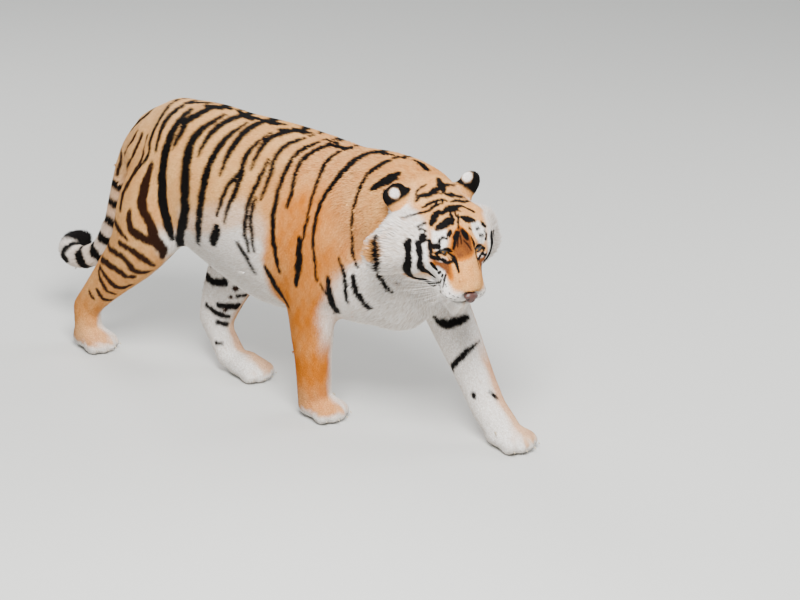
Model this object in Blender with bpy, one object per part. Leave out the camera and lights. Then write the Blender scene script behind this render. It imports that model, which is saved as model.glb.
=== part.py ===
"""A grown male tiger at a walk, life size, as a still model.

The tiger faces -Y with its left side towards +X, and stands on the plane Z = 0.
Its flesh is built whole, from lofted limbs and rounded masses that are fused into one
skin, and is then parted with thin cuts where a person would name its parts.
Lengths are metres. Places are given as (forward, left, up).
"""
import math

import bmesh
import bpy
from mathutils import Euler, Matrix, Vector

# Driving sizes.
GAP = 0.0004                # width of a parting cut
ROOM = 0.0003               # room round a piece that is set into the flesh
ROOT_GAP = 0.001            # room where an ear or a claw grows out of the flesh
FUSE = 0.0065               # grain of the fused flesh
FLESH_FACES = 3300          # triangles of the whole flesh
FACE_CARE = 0.00012         # how much finer the head is kept than the body
CRUMB = 0.000002            # volume below which a scrap of a cut is dropped

# The head: its place between the eyes, and how it is turned.
HEAD_AT = (0.801, -0.133, 0.737)
HEAD_TURN = math.radians(-21)       # towards the right
HEAD_DROP = math.radians(24)        # nose down
HEAD_LEAN = math.radians(5.5)       # left side up
EYE_SPREAD = 0.060
EYE_RADIUS = 0.0175
EYE_BACK = 0.004
EAR_LENGTH = 0.084
EAR_WIDTH = 0.086
EAR_THICK = 0.013
EAR_CURL = 0.022                    # how far the edges of an ear curl back
EAR_GRAIN = 7
EAR_TIPS = {"left": (-0.30, 0.52, 0.80), "right": (-0.66, -0.42, 0.60)}
SIDES = {"left": 1, "right": -1}

# The feet: where the middle of each sole stands, and where each paw points.
PAWS = {
    "front_right": (0.205, -0.075),
    "front_left": (0.825, 0.110),
    "hind_right": (-0.780, -0.090),
    "hind_left": (-0.204, 0.042),
}
PAW_HEADINGS = {
    "front_right": math.radians(-4),
    "front_left": math.radians(-6),
    "hind_right": math.radians(-6),
    "hind_left": math.radians(-4),
}
CLAW_LENGTH = 0.022
CLAW_RADIUS = 0.0046
CLAW_BEND = math.radians(75)

# Plain finishes: colour and roughness by the first word of a node's name.
FINISHES = {
    "eye": ((0.30, 0.15, 0.02), 0.10),
    "nose": ((0.42, 0.18, 0.14), 0.50),
    "claw": ((0.72, 0.66, 0.52), 0.40),
    "dewclaw": ((0.72, 0.66, 0.52), 0.40),
    "ear": ((0.05, 0.04, 0.04), 0.85),
}
FUR_FINISH = ((0.62, 0.32, 0.11), 0.85)


def at(forward, left, up):
    """Turn a place given as forward, left, up into the world's axes."""
    return Vector((left, -forward, up))


def turned(turn, drop=0.0, lean=0.0):
    """Rotation whose columns are forward, left and up of a piece turned from the body's own."""
    body = Matrix((at(1, 0, 0), at(0, 1, 0), at(0, 0, 1))).transposed()
    return (body @ Euler((lean, drop, turn), "XYZ").to_matrix()).to_4x4()


HEAD = Matrix.Translation(at(*HEAD_AT)) @ turned(HEAD_TURN, HEAD_DROP, -HEAD_LEAN)
BODY = turned(0.0)


def clear_scene():
    """Remove what the scene holds."""
    for item in list(bpy.data.objects):
        bpy.data.objects.remove(item, do_unlink=True)


def finish(name, colour, roughness):
    """A plain finish of one colour."""
    made = bpy.data.materials.new(name)
    made.use_nodes = True
    shader = made.node_tree.nodes["Principled BSDF"]
    shader.inputs["Base Color"].default_value = (*colour, 1.0)
    shader.inputs["Roughness"].default_value = roughness
    shader.inputs["Metallic"].default_value = 0.0
    return made


def add_object(name, mesh, surface=None):
    """Put a mesh in the scene as an object."""
    made = bpy.data.objects.new(name, mesh)
    bpy.context.scene.collection.objects.link(made)
    if surface:
        mesh.materials.clear()
        mesh.materials.append(surface)
    return made


def mesh_of(shape, name):
    """Turn a bmesh into a mesh and free it."""
    mesh = bpy.data.meshes.new(name)
    shape.to_mesh(mesh)
    shape.free()
    return mesh


def evaluated(item, name):
    """The mesh that an object's modifiers make of it."""
    graph = bpy.context.evaluated_depsgraph_get()
    made = bpy.data.meshes.new_from_object(item.evaluated_get(graph))
    made.name = name
    bpy.data.objects.remove(item, do_unlink=True)
    return made


def ball(shape, frame, centre, radii, turn=(0.0, 0.0, 0.0), grain=3):
    """A rounded mass: an ellipsoid with its own three radii, in a piece's frame."""
    size = Matrix.Diagonal((*radii, 1.0))
    place = frame @ Matrix.Translation(Vector(centre)) @ Euler(turn).to_matrix().to_4x4() @ size
    bmesh.ops.create_icosphere(shape, subdivisions=grain, radius=1.0, matrix=place)


def pair(shape, frame, centre, radii, turn=(0.0, 0.0, 0.0)):
    """The same mass on the left and on the right."""
    forward, left, up = centre
    roll, drop, yaw = turn
    ball(shape, frame, (forward, left, up), radii, (roll, drop, yaw))
    ball(shape, frame, (forward, -left, up), radii, (-roll, drop, -yaw))


def blend(a, b, c, d, share):
    """Catmull-Rom blend of four rings, part of the way from the second to the third."""
    return [
        0.5 * (2 * q + (r - p) * share + (2 * p - 5 * q + 4 * r - s) * share ** 2
               + (3 * q - p - 3 * r + s) * share ** 3)
        for p, q, r, s in zip(a, b, c, d)
    ]


def limb(shape, frame, rings, sides=22, steps=5, round_ends=0.85):
    """A loft through rings of (forward, left, up, half width, half depth) with rounded ends."""
    padded = [rings[0]] + list(rings) + [rings[-1]]
    path = []
    for index in range(len(rings) - 1):
        for step in range(steps):
            path.append(blend(*padded[index:index + 4], step / steps))
    path.append(list(rings[-1]))
    places = [Vector(ring[:3]) for ring in path]
    loops = []
    for index, ring in enumerate(path):
        ahead = places[min(index + 1, len(path) - 1)] - places[max(index - 1, 0)]
        ahead.normalize()
        side = Vector((0, 1, 0))
        side = (side - ahead * side.dot(ahead)).normalized()
        loops.append((places[index], ahead, side, ahead.cross(side), ring[3], ring[4]))
    loops = rounded_end(loops[0], -1, round_ends)[::-1] + loops + rounded_end(loops[-1], 1, round_ends)
    rows = []
    for centre, ahead, side, over, width, depth in loops:
        row = []
        for index in range(sides):
            angle = math.tau * index / sides
            spot = centre + side * width * math.cos(angle) + over * depth * math.sin(angle)
            row.append(shape.verts.new(frame @ spot))
        rows.append(row)
    for low, high in zip(rows, rows[1:]):
        for index in range(sides):
            after = (index + 1) % sides
            shape.faces.new((low[index], low[after], high[after], high[index]))
    shape.faces.new(rows[0][::-1])
    shape.faces.new(rows[-1])


def rounded_end(loop, way, reach):
    """Rings that close a loft's end as half an ellipsoid."""
    centre, ahead, side, over, width, depth = loop
    length = min(width, depth) * reach
    rings = []
    for degrees in (25, 45, 62, 76, 85):
        angle = math.radians(degrees)
        shrink = math.cos(angle)
        spot = centre + ahead * way * length * math.sin(angle)
        rings.append((spot, ahead, side, over, width * shrink, depth * shrink))
    return rings


def trunk(shape):
    """Barrel, chest and rump, with the belly that hangs under them."""
    limb(shape, BODY, [
        (-0.555, 0.0, 0.710, 0.125, 0.140),
        (-0.490, 0.0, 0.696, 0.172, 0.206),
        (-0.360, 0.0, 0.704, 0.200, 0.238),
        (-0.200, 0.0, 0.664, 0.220, 0.278),
        (-0.050, 0.0, 0.638, 0.236, 0.300),
        (0.100, 0.0, 0.628, 0.236, 0.302),
        (0.250, 0.0, 0.628, 0.222, 0.290),
        (0.380, 0.0, 0.622, 0.200, 0.278),
        (0.480, 0.0, 0.632, 0.165, 0.245),
    ], sides=32)
    # The brisket, between the forelegs.
    ball(shape, BODY, (0.440, 0.0, 0.470), (0.160, 0.110, 0.130))
    # The loose belly, lowest just behind the ribs.
    ball(shape, BODY, (0.020, 0.0, 0.470), (0.300, 0.165, 0.155))
    # The withers, the loins, and the croup that the tail grows from.
    ball(shape, BODY, (0.250, 0.0, 0.795), (0.180, 0.110, 0.125))
    ball(shape, BODY, (-0.290, 0.0, 0.820), (0.240, 0.140, 0.122))
    ball(shape, BODY, (-0.500, 0.0, 0.775), (0.150, 0.110, 0.120))


def neck(shape):
    """A thick neck, level with the back, that bends to the right."""
    limb(shape, BODY, [
        (0.260, 0.000, 0.690, 0.190, 0.225),
        (0.420, -0.006, 0.726, 0.186, 0.208),
        (0.540, -0.034, 0.750, 0.170, 0.186),
        (0.640, -0.078, 0.755, 0.146, 0.162),
    ], sides=28)


def head(shape):
    """Skull, muzzle, jaws, cheeks and the ruff behind them."""
    ball(shape, HEAD, (-0.090, 0, 0.002), (0.128, 0.108, 0.084))
    ball(shape, HEAD, (-0.175, 0, -0.004), (0.105, 0.122, 0.100))
    pair(shape, HEAD, (-0.016, 0.048, 0.019), (0.040, 0.040, 0.027))
    pair(shape, HEAD, (-0.095, 0.090, -0.004), (0.085, 0.078, 0.078))
    # Bridge of the nose.
    limb(shape, HEAD, [
        (-0.040, 0, 0.006, 0.060, 0.048),
        (0.020, 0, -0.014, 0.051, 0.046),
        (0.065, 0, -0.036, 0.050, 0.046),
        (0.100, 0, -0.058, 0.049, 0.043),
        (0.116, 0, -0.072, 0.041, 0.036),
    ])
    # Upper jaw.
    limb(shape, HEAD, [
        (-0.050, 0, -0.045, 0.112, 0.066),
        (0.020, 0, -0.052, 0.092, 0.060),
        (0.068, 0, -0.068, 0.077, 0.055),
        (0.098, 0, -0.082, 0.060, 0.046),
    ])
    pair(shape, HEAD, (0.090, 0.036, -0.088), (0.044, 0.038, 0.037))
    # Lower jaw and chin.
    limb(shape, HEAD, [
        (-0.060, 0, -0.098, 0.104, 0.070),
        (0.010, 0, -0.118, 0.078, 0.050),
        (0.056, 0, -0.134, 0.054, 0.034),
    ])
    ball(shape, HEAD, (0.080, 0, -0.138), (0.040, 0.038, 0.028))
    # Cheek bones, cheeks and ruff.
    pair(shape, HEAD, (-0.020, 0.082, -0.030), (0.060, 0.038, 0.042))
    pair(shape, HEAD, (-0.066, 0.104, -0.050), (0.080, 0.074, 0.088))
    pair(shape, HEAD, (-0.110, 0.122, -0.042), (0.070, 0.088, 0.098))
    pair(shape, HEAD, (-0.112, 0.156, -0.092), (0.068, 0.092, 0.084))
    ball(shape, HEAD, (-0.100, 0, -0.110), (0.115, 0.135, 0.085))


def ear_frame(side):
    """The frame of an ear: up to its tip, across it, and out of its furred back."""
    tip = Vector(EAR_TIPS[side]).normalized()
    back = Vector((0.70, SIDES[side] * 0.10, 0.50))
    back = (back - tip * back.dot(tip)).normalized()
    across = tip.cross(back)
    place = Matrix((tip, across, back)).transposed().to_4x4()
    return HEAD @ Matrix.Translation((-0.176, SIDES[side] * 0.110, 0.060)) @ place


def ear(side):
    """A round ear: a cup whose rim curls away from its furred back."""
    shape = bmesh.new()
    frame = ear_frame(side)
    layers = []
    for layer in (EAR_THICK / 2, -EAR_THICK / 2):
        grid = []
        for row in range(EAR_GRAIN + 1):
            rise = EAR_LENGTH * (1.35 * row / EAR_GRAIN - 0.35)
            along = max(rise / EAR_LENGTH, 0.0)
            half = EAR_WIDTH / 2 * (1 - along ** 3.2) ** 0.5 * (0.90 + 0.10 * min(along * 4, 1)) + 0.004
            lift = layer * (1 - 0.45 * along)
            line = []
            for column in range(EAR_GRAIN + 1):
                span = 2 * column / EAR_GRAIN - 1
                curl = EAR_CURL * span * span * half / (EAR_WIDTH / 2) + 0.012 * along * along
                line.append(shape.verts.new(frame @ Vector((rise, half * span, lift - curl))))
            grid.append(line)
        layers.append(grid)
    close_layers(shape, *layers)
    bmesh.ops.triangulate(shape, faces=shape.faces)
    bmesh.ops.recalc_face_normals(shape, faces=shape.faces)
    return shape


def close_layers(shape, outer, inner):
    """Close two grids of points into one thin body."""
    for grid in (outer, inner):
        for low, high in zip(grid, grid[1:]):
            for column in range(len(low) - 1):
                shape.faces.new((low[column], low[column + 1], high[column + 1], high[column]))
    rims = []
    for grid in (outer, inner):
        right = [row[-1] for row in grid[1:-1]]
        left = [row[0] for row in grid[-2:0:-1]]
        rims.append(grid[0] + right + grid[-1][::-1] + left)
    first, second = rims
    for index in range(len(first)):
        after = (index + 1) % len(first)
        shape.faces.new((first[index], first[after], second[after], second[index]))


def grown(name, shape, flesh):
    """A piece that grows out of the flesh: what of it stands clear of the skin by a gap."""
    body = bmesh.new()
    body.from_mesh(flesh.data)
    body.normal_update()
    moved = [point.co + point.normal * ROOT_GAP for point in body.verts]
    for point, place in zip(body.verts, moved):
        point.co = place
    return cut(add_object(name, mesh_of(shape, name)), body)


def eye(side, extra=0.0):
    """An eyeball, grown by the room its socket needs."""
    shape = bmesh.new()
    radius = EYE_RADIUS + extra
    ball(shape, HEAD, (EYE_BACK, SIDES[side] * EYE_SPREAD, 0), (radius, radius, radius))
    return shape


def eye_opening(side):
    """The slanted opening between an eye's lids."""
    shape = bmesh.new()
    place = (EYE_BACK + EYE_RADIUS, SIDES[side] * (EYE_SPREAD + 0.001), -0.001)
    ball(shape, HEAD, place, (0.020, 0.0165, 0.0095), (SIDES[side] * math.radians(24), 0, 0), grain=2)
    return shape


def nose(extra=0.0):
    """The nose pad, broad above and narrowing to the lip."""
    shape = bmesh.new()
    radii = [size + extra for size in (0.017, 0.029, 0.021)]
    ball(shape, HEAD, (0.1345, 0, -0.082), radii, (0, math.radians(-20), 0), grain=2)
    return shape


def claw(frame):
    """A hooked claw that leaves its toe forwards and curves down to its point."""
    shape = bmesh.new()
    sides, steps = 5, 3
    rows = []
    for step in range(steps):
        centre, over = claw_line(step / steps)
        radius = CLAW_RADIUS * (1 - step / steps) ** 0.7
        row = []
        for index in range(sides):
            turn = math.tau * index / sides
            spot = centre + Vector((0, 0.8 * radius * math.cos(turn), 0)) + over * radius * math.sin(turn)
            row.append(shape.verts.new(frame @ spot))
        rows.append(row)
    tip = shape.verts.new(frame @ claw_line(1.0)[0])
    for low, high in zip(rows, rows[1:]):
        for index in range(sides):
            after = (index + 1) % sides
            shape.faces.new((low[index], low[after], high[after], high[index]))
    for index in range(sides):
        shape.faces.new((rows[-1][index], rows[-1][(index + 1) % sides], tip))
    shape.faces.new(rows[0])
    bmesh.ops.triangulate(shape, faces=shape.faces)
    bmesh.ops.recalc_face_normals(shape, faces=shape.faces)
    return shape


def claw_line(share):
    """A place part of the way along a claw's curve, and the way over it."""
    angle = CLAW_BEND * share
    place = Vector((0.8 * CLAW_LENGTH * math.sin(angle), 0, -0.6 * CLAW_LENGTH * (1 - math.cos(angle))))
    return place, Vector((math.sin(angle), 0, math.cos(angle)))


def claw_frames():
    """Name and frame of every claw: four on each paw, and the dewclaw inside each front paw."""
    for name in PAWS:
        frame = paw_frame(name)
        size = paw_size(name)
        for number, centre, heading in toe_places():
            root = (size * centre[0] + 0.026, size * centre[1] + heading * 0.026, 0.026)
            yield "claw_%s_%d" % (name, round(number + 2.5)), frame @ placed(root, heading)
        if name.startswith("front"):
            inner = -1 if name.endswith("left") else 1
            root = (-0.006, inner * 0.056, 0.066)
            yield "dewclaw_" + name, frame @ placed(root, inner * math.radians(25))


def placed(place, heading):
    """A place within a frame, turned to a heading."""
    return Matrix.Translation(Vector(place)) @ Euler((0, 0, heading)).to_matrix().to_4x4()


def front_leg(shape, side, joints):
    """Shoulder blade, upper arm and forearm, through the four named joints."""
    withers, shoulder, elbow, wrist, heel = (Vector(joint) for joint in joints)
    reach = wrist - elbow
    limb(shape, BODY, [
        (*withers, 0.040, 0.080),
        (*(withers.lerp(shoulder, 0.5) + Vector((0, side * 0.012, 0))), 0.062, 0.125),
        (*shoulder, 0.070, 0.120),
    ])
    limb(shape, BODY, [
        (*shoulder, 0.072, 0.115),
        (*shoulder.lerp(elbow, 0.55), 0.076, 0.125),
        (*elbow, 0.068, 0.104),
        (*(elbow + reach * 0.30), 0.065, 0.090),
        (*(elbow + reach * 0.65), 0.060, 0.074),
        (*wrist, 0.057, 0.064),
        (*heel, 0.056, 0.060),
    ])


def hind_leg(shape, joints, widths):
    """Thigh, shank and the long hind foot, through the five named joints."""
    hock, foot = joints[-2:]
    limb(shape, BODY, [(*joint, *width) for joint, width in zip(joints[:5], widths[:5])])
    limb(shape, BODY, [
        (*hock, 0.046, 0.058),
        (*Vector(hock).lerp(Vector(foot), 0.5), 0.048, 0.050),
        (*foot, 0.054, 0.048),
    ])


def legs(shape):
    """The four legs at this moment of the walk."""
    front_leg(shape, -1, ((0.205, -0.090, 0.820), (0.320, -0.135, 0.620), (0.215, -0.140, 0.455),
                          (0.190, -0.090, 0.125), (0.185, -0.080, 0.060)))
    front_leg(shape, 1, ((0.270, 0.090, 0.810), (0.450, 0.140, 0.630), (0.508, 0.140, 0.465),
                         (0.740, 0.110, 0.125), (0.800, 0.110, 0.060)))
    hind_leg(shape, ((-0.400, -0.098, 0.690), (-0.465, -0.122, 0.560), (-0.545, -0.128, 0.418),
                     (-0.680, -0.115, 0.275), (-0.795, -0.100, 0.155), (-0.800, -0.092, 0.055)),
             ((0.104, 0.155), (0.102, 0.152), (0.080, 0.108), (0.058, 0.072), (0.044, 0.052)))
    hind_leg(shape, ((-0.370, 0.098, 0.690), (-0.320, 0.122, 0.560), (-0.290, 0.125, 0.430),
                     (-0.345, 0.098, 0.270), (-0.372, 0.070, 0.155), (-0.280, 0.046, 0.055)),
             ((0.104, 0.170), (0.102, 0.155), (0.082, 0.118), (0.064, 0.092), (0.050, 0.068)))


def toe_places():
    """Middle of each toe and its heading, from inner to outer."""
    for number in (-1.5, -0.5, 0.5, 1.5):
        forward = 0.064 - 0.0095 * number * number
        yield number, (forward, number * 0.0335, 0.030), number * math.radians(7)


def paw_frame(name):
    """The frame of a paw, on the floor below it."""
    return Matrix.Translation(at(*PAWS[name], 0.0)) @ turned(PAW_HEADINGS[name])


def paw_size(name):
    """The hind paws are a little smaller."""
    return 0.92 if name.startswith("hind") else 1.0


def paws(shape):
    """Broad paws: a middle pad, four toes and the heel pad behind."""
    for name in PAWS:
        frame = paw_frame(name)
        size = paw_size(name)
        ball(shape, frame, (-0.012, 0, 0.042), (0.074 * size, 0.064 * size, 0.048))
        ball(shape, frame, (0.020, 0, 0.038), (0.064 * size, 0.066 * size, 0.042))
        ball(shape, frame, (-0.045, 0, 0.030), (0.042, 0.050 * size, 0.035))
        for _, centre, heading in toe_places():
            ball(shape, frame, [place * size for place in centre], (0.040, 0.0215, 0.033),
                 (0, math.radians(8), heading))


def tail(shape):
    """The tail, down behind the rump and hooked at its end."""
    limb(shape, BODY, [
        (-0.500, 0.000, 0.805, 0.064, 0.064),
        (-0.600, 0.000, 0.780, 0.058, 0.058),
        (-0.672, 0.000, 0.700, 0.048, 0.048),
        (-0.718, 0.000, 0.580, 0.043, 0.043),
        (-0.755, 0.000, 0.440, 0.042, 0.042),
        (-0.808, 0.000, 0.330, 0.043, 0.043),
        (-0.872, -0.006, 0.284, 0.044, 0.044),
        (-0.936, -0.004, 0.270, 0.044, 0.044),
        (-0.984, 0.016, 0.280, 0.044, 0.044),
        (-0.990, 0.048, 0.299, 0.042, 0.042),
        (-0.958, 0.076, 0.306, 0.034, 0.034),
    ], sides=18)


def flesh_mesh():
    """The whole body as one fused skin, finer on the head."""
    shape = bmesh.new()
    for build in (trunk, neck, head, legs, paws, tail):
        build(shape)
    bmesh.ops.recalc_face_normals(shape, faces=shape.faces)
    rough = add_object("flesh", mesh_of(shape, "flesh"))
    fuse = rough.modifiers.new("fuse", "REMESH")
    fuse.mode = "VOXEL"
    fuse.voxel_size = FUSE
    skin = add_object("flesh", evaluated(rough, "flesh"))
    body = skin.vertex_groups.new(name="body")
    for point in skin.data.vertices:
        body.add([point.index], body_share(point.co), "REPLACE")
    smooth = skin.modifiers.new("smooth", "SMOOTH")
    smooth.vertex_group = "body"
    smooth.factor = 0.6
    smooth.iterations = 30
    soften = skin.modifiers.new("soften", "SMOOTH")
    soften.factor = 0.5
    soften.iterations = 3
    thin = skin.modifiers.new("thin", "DECIMATE")
    thin.ratio = FLESH_FACES / (2 * len(skin.data.polygons))
    thin.vertex_group = "body"
    thin.vertex_group_factor = FACE_CARE
    return evaluated(skin, "flesh")


def body_share(place):
    """1 on the broad forms of the body, falling to 0.3 on the face and the paws."""
    near_head = (place - HEAD @ Vector((0.0, 0, -0.03))).length
    share = min(max((near_head - 0.12) / 0.08, 0.0), 1.0)
    low = min(max((place.z - 0.09) / 0.08, 0.0), 1.0)
    return 0.3 + 0.7 * min(share, low)


def spot_frame(place, turn=0.0):
    """The frame of a cut: at a place on the body, turned by some degrees to the left."""
    return Matrix.Translation(at(*place)) @ turned(math.radians(turn))


def wall(frame, line, half_span):
    """A thin wall across a frame, along a line of (forward, up) points, to cut with."""
    shape = bmesh.new()
    spots = [Vector((forward, 0, up)) for forward, up in line]
    rings = []
    for index, spot in enumerate(spots):
        ahead = spots[min(index + 1, len(spots) - 1)] - spots[max(index - 1, 0)]
        over = Vector((-ahead.z, 0, ahead.x)).normalized() * GAP / 2
        across = Vector((0, half_span, 0))
        corners = (spot + over - across, spot + over + across, spot - over + across, spot - over - across)
        rings.append([shape.verts.new(frame @ corner) for corner in corners])
    for low, high in zip(rings, rings[1:]):
        for index in range(4):
            after = (index + 1) % 4
            shape.faces.new((low[index], low[after], high[after], high[index]))
    shape.faces.new(rings[0][::-1])
    shape.faces.new(rings[-1])
    bmesh.ops.recalc_face_normals(shape, faces=shape.faces)
    return shape


def husk(centre, radii, lean):
    """A thin egg-shaped shell, leaning forwards below, that parts a limb from the trunk."""
    shape = bmesh.new()
    turn = (0, math.radians(lean), 0)
    ball(shape, BODY, centre, [size - GAP / 2 for size in radii], turn, grain=2)
    bmesh.ops.reverse_faces(shape, faces=shape.faces)
    ball(shape, BODY, centre, [size + GAP / 2 for size in radii], turn, grain=2)
    return shape


def cut(item, shape):
    """Take a shape away from an object's mesh."""
    cutter = add_object("cutter", mesh_of(shape, "cutter"))
    step = item.modifiers.new("cut", "BOOLEAN")
    step.operation = "DIFFERENCE"
    step.solver = "EXACT"
    step.object = cutter
    name = item.name
    mesh = evaluated(item, name)
    bpy.data.objects.remove(cutter, do_unlink=True)
    return add_object(name, mesh)


def loose_parts(mesh):
    """The separate bodies of a mesh, each as its own bmesh."""
    whole = bmesh.new()
    whole.from_mesh(mesh)
    waiting = set(whole.faces)
    bodies = []
    while waiting:
        start = waiting.pop()
        body = {start}
        rim = [start]
        while rim:
            face = rim.pop()
            for link in (near for side in face.edges for near in side.link_faces):
                if link not in body:
                    body.add(link)
                    rim.append(link)
        waiting -= body
        bodies.append(body)
    for body in bodies:
        shape = bmesh.new()
        known = {}
        for face in sorted(body, key=lambda one: one.index):
            for point in face.verts:
                if point not in known:
                    known[point] = shape.verts.new(point.co)
            shape.faces.new([known[point] for point in face.verts])
        yield shape
    whole.free()


def part(pieces, cutter, name, other):
    """Cut a piece in two, and name each half by the seed that it lies nearest."""
    item = cut(pieces.pop(name), cutter)
    for shape in loose_parts(item.data):
        if shape.calc_volume() < CRUMB:
            shape.free()
            continue
        spread = [[point.co[axis] for point in shape.verts] for axis in range(3)]
        middle = Vector([(min(side) + max(side)) / 2 for side in spread])
        near = min((name, other), key=lambda seed: (at(*SEEDS[seed]) - middle).length)
        pieces[near] = add_object(near, mesh_of(shape, near))
    bpy.data.objects.remove(item, do_unlink=True)


# The cuts, in order: the piece that is cut, what comes off it, how, and with what.
# A wall has a place, a turn, a line of (forward, up) points and half its span;
# a husk has its centre, its radii and its lean.
CUTS = (
    ("body", "head", "wall", (0.625, -0.085, 0.75), -18, ((-0.030, 0.25), (0.030, -0.21)), 0.28),
    ("body", "neck", "wall", (0.500, -0.010, 0.75), -6, ((-0.110, 0.26), (0.115, -0.245)), 0.28),
    ("body", "tail", "wall", (-0.712, 0, 0.600), 0, ((0.062, -0.024), (-0.075, 0.028)), 0.075),
    ("tail", "tail_base", "wall", (-0.758, 0, 0.440), 0, ((0.075, -0.024), (-0.075, 0.024)), 0.08),
    ("tail", "tail_tip", "wall", (-0.900, -0.005, 0.277), 0, ((0.020, 0.070), (-0.020, -0.070)), 0.08),
    ("body", "forearm_right", "wall", (0.205, -0.120, 0.308), 0, ((-0.14, 0), (0.14, 0)), 0.105),
    ("body", "shoulder_right", "husk", (0.228, -0.150, 0.550), (0.185, 0.146, 0.320), 0),
    ("forearm_right", "paw_front_right", "wall", (0.190, -0.085, 0.100), 0, ((-0.10, 0), (0.10, 0)), 0.085),
    ("body", "forearm_left", "wall", (0.578, 0.133, 0.365), 0, ((-0.110, -0.074), (0.110, 0.074)), 0.095),
    ("body", "shoulder_left", "husk", (0.430, 0.150, 0.570), (0.170, 0.155, 0.345), -34),
    ("forearm_left", "paw_front_left", "wall", (0.765, 0.110, 0.095), 0, ((-0.085, -0.03), (0.085, 0.03)),
     0.085),
    ("body", "shank_right", "wall", (-0.600, -0.128, 0.360), 0, ((-0.095, 0.095), (0.095, -0.095)), 0.105),
    ("body", "thigh_right", "husk", (-0.500, -0.148, 0.560), (0.220, 0.155, 0.350), 22),
    ("shank_right", "hock_right", "wall", (-0.785, -0.100, 0.170), 0, ((-0.08, 0.02), (0.08, -0.02)), 0.085),
    ("hock_right", "paw_hind_right", "wall", (-0.800, -0.092, 0.080), 0, ((-0.085, 0), (0.085, 0)), 0.085),
    ("body", "shank_left", "wall", (-0.305, 0.118, 0.365), 0, ((-0.150, 0.052), (0.150, -0.052)), 0.100),
    ("body", "thigh_left", "husk", (-0.355, 0.148, 0.575), (0.210, 0.155, 0.360), -12),
    ("shank_left", "hock_left", "wall", (-0.368, 0.080, 0.175), 0, ((-0.09, -0.01), (0.09, 0.01)), 0.085),
    ("hock_left", "paw_hind_left", "wall", (-0.280, 0.048, 0.072), 0, ((0.070, 0.085), (-0.060, -0.073)),
     0.085),
    ("body", "rump", "wall", (-0.330, 0, 0.66), 0, ((-0.04, 0.34), (0.05, -0.34)), 0.32),
    ("body", "chest", "wall", (0.130, 0, 0.62), 0, ((0, 0.40), (0, -0.40)), 0.32),
)
# The mouth's line, then down behind the jaw, in the head's frame.
MOUTH = ((0.160, -0.121), (0.090, -0.121), (0.030, -0.110), (-0.030, -0.108), (-0.055, -0.230))
# Where the middle of each piece lies, to tell them apart once they are cut.
SEEDS = {
    "body": (0.0, 0.0, 0.60), "head": (0.74, -0.11, 0.74), "neck": (0.56, -0.06, 0.72),
    "tail": (-0.84, 0.03, 0.38), "tail_base": (-0.73, 0.0, 0.52), "tail_tip": (-0.94, 0.03, 0.29),
    "forearm_right": (0.21, -0.10, 0.18), "shoulder_right": (0.23, -0.12, 0.56),
    "paw_front_right": (0.21, -0.08, 0.05), "forearm_left": (0.68, 0.12, 0.23),
    "shoulder_left": (0.43, 0.12, 0.58), "paw_front_left": (0.82, 0.11, 0.05),
    "shank_right": (-0.69, -0.11, 0.27), "thigh_right": (-0.46, -0.11, 0.58),
    "hock_right": (-0.79, -0.10, 0.12), "paw_hind_right": (-0.78, -0.09, 0.02),
    "shank_left": (-0.32, 0.10, 0.27), "thigh_left": (-0.35, 0.11, 0.60),
    "hock_left": (-0.34, 0.06, 0.12), "paw_hind_left": (-0.21, 0.04, 0.04),
    "rump": (-0.53, 0.0, 0.68), "chest": (0.37, 0.0, 0.62), "lower_jaw": (0.84, -0.15, 0.60),
}


def part_flesh(flesh):
    """Divide the flesh where a person would name its parts."""
    pieces = {"body": flesh}
    for name, other, tool, place, *sizes in CUTS:
        if tool == "wall":
            turn, line, half_span = sizes
            cutter = wall(spot_frame(place, turn), line, half_span)
        else:
            cutter = husk(place, *sizes)
        part(pieces, cutter, name, other)
    part(pieces, wall(HEAD, MOUTH, 0.150), "head", "lower_jaw")
    pieces["tail_middle"] = pieces.pop("tail")
    pieces["barrel"] = pieces.pop("body")
    return pieces


def main():
    """Build the tiger."""
    clear_scene()
    flesh = add_object("flesh", flesh_mesh())
    floor = bmesh.new()
    bmesh.ops.create_cube(floor, size=3.0, matrix=Matrix.Translation((0, 0, -1.5)))
    flesh = cut(flesh, floor)
    set_in = {}
    for side in SIDES:
        name = "ear_" + side
        set_in[name] = grown(name, ear(side), flesh)
        flesh = cut(flesh, eye(side, ROOM))
        flesh = cut(flesh, eye_opening(side))
        set_in["eye_" + side] = add_object("eye_" + side, mesh_of(eye(side), "eye_" + side))
    flesh = cut(flesh, nose(ROOM))
    set_in["nose"] = add_object("nose", mesh_of(nose(), "nose"))
    for name, frame in claw_frames():
        set_in[name] = grown(name, claw(frame), flesh)
    pieces = part_flesh(flesh)
    pieces.update(set_in)
    centre(pieces.values())
    for name, item in pieces.items():
        item.name = name
        item.data.name = name
        colour, roughness = FINISHES.get(name.split("_")[0], FUR_FINISH)
        item.data.materials.clear()
        item.data.materials.append(finish(name, colour, roughness))


def centre(items):
    """Move the whole tiger so that the middle of its box stands over the origin."""
    places = [point.co for item in items for point in item.data.vertices]
    shift = Vector((0, 0, 0))
    for axis in (0, 1):
        values = [place[axis] for place in places]
        shift[axis] = -(min(values) + max(values)) / 2
    for item in items:
        item.data.transform(Matrix.Translation(shift))


main()
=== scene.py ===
"""Dresses a life-size tiger, caught in mid-stride, over its fixed frame of solids.

One skin covers the flesh. Over it lies the coat: some 300,000 solid tufts that follow the lie
of the hair, with the same stripes and pale parts as the skin under them. The eyes, their rims,
the nose, the claws and the whiskers are pieces of their own.
Lengths are metres. Places on the body are (forward, left, up) from the middle of its stance,
and places on the head are degrees over the brow and out to the side, as on a globe.
"""

from contextlib import contextmanager
import math

import bmesh
import bpy
import numpy as np
from mathutils import Euler, Matrix, Vector
from mathutils.bvhtree import BVHTree


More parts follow.
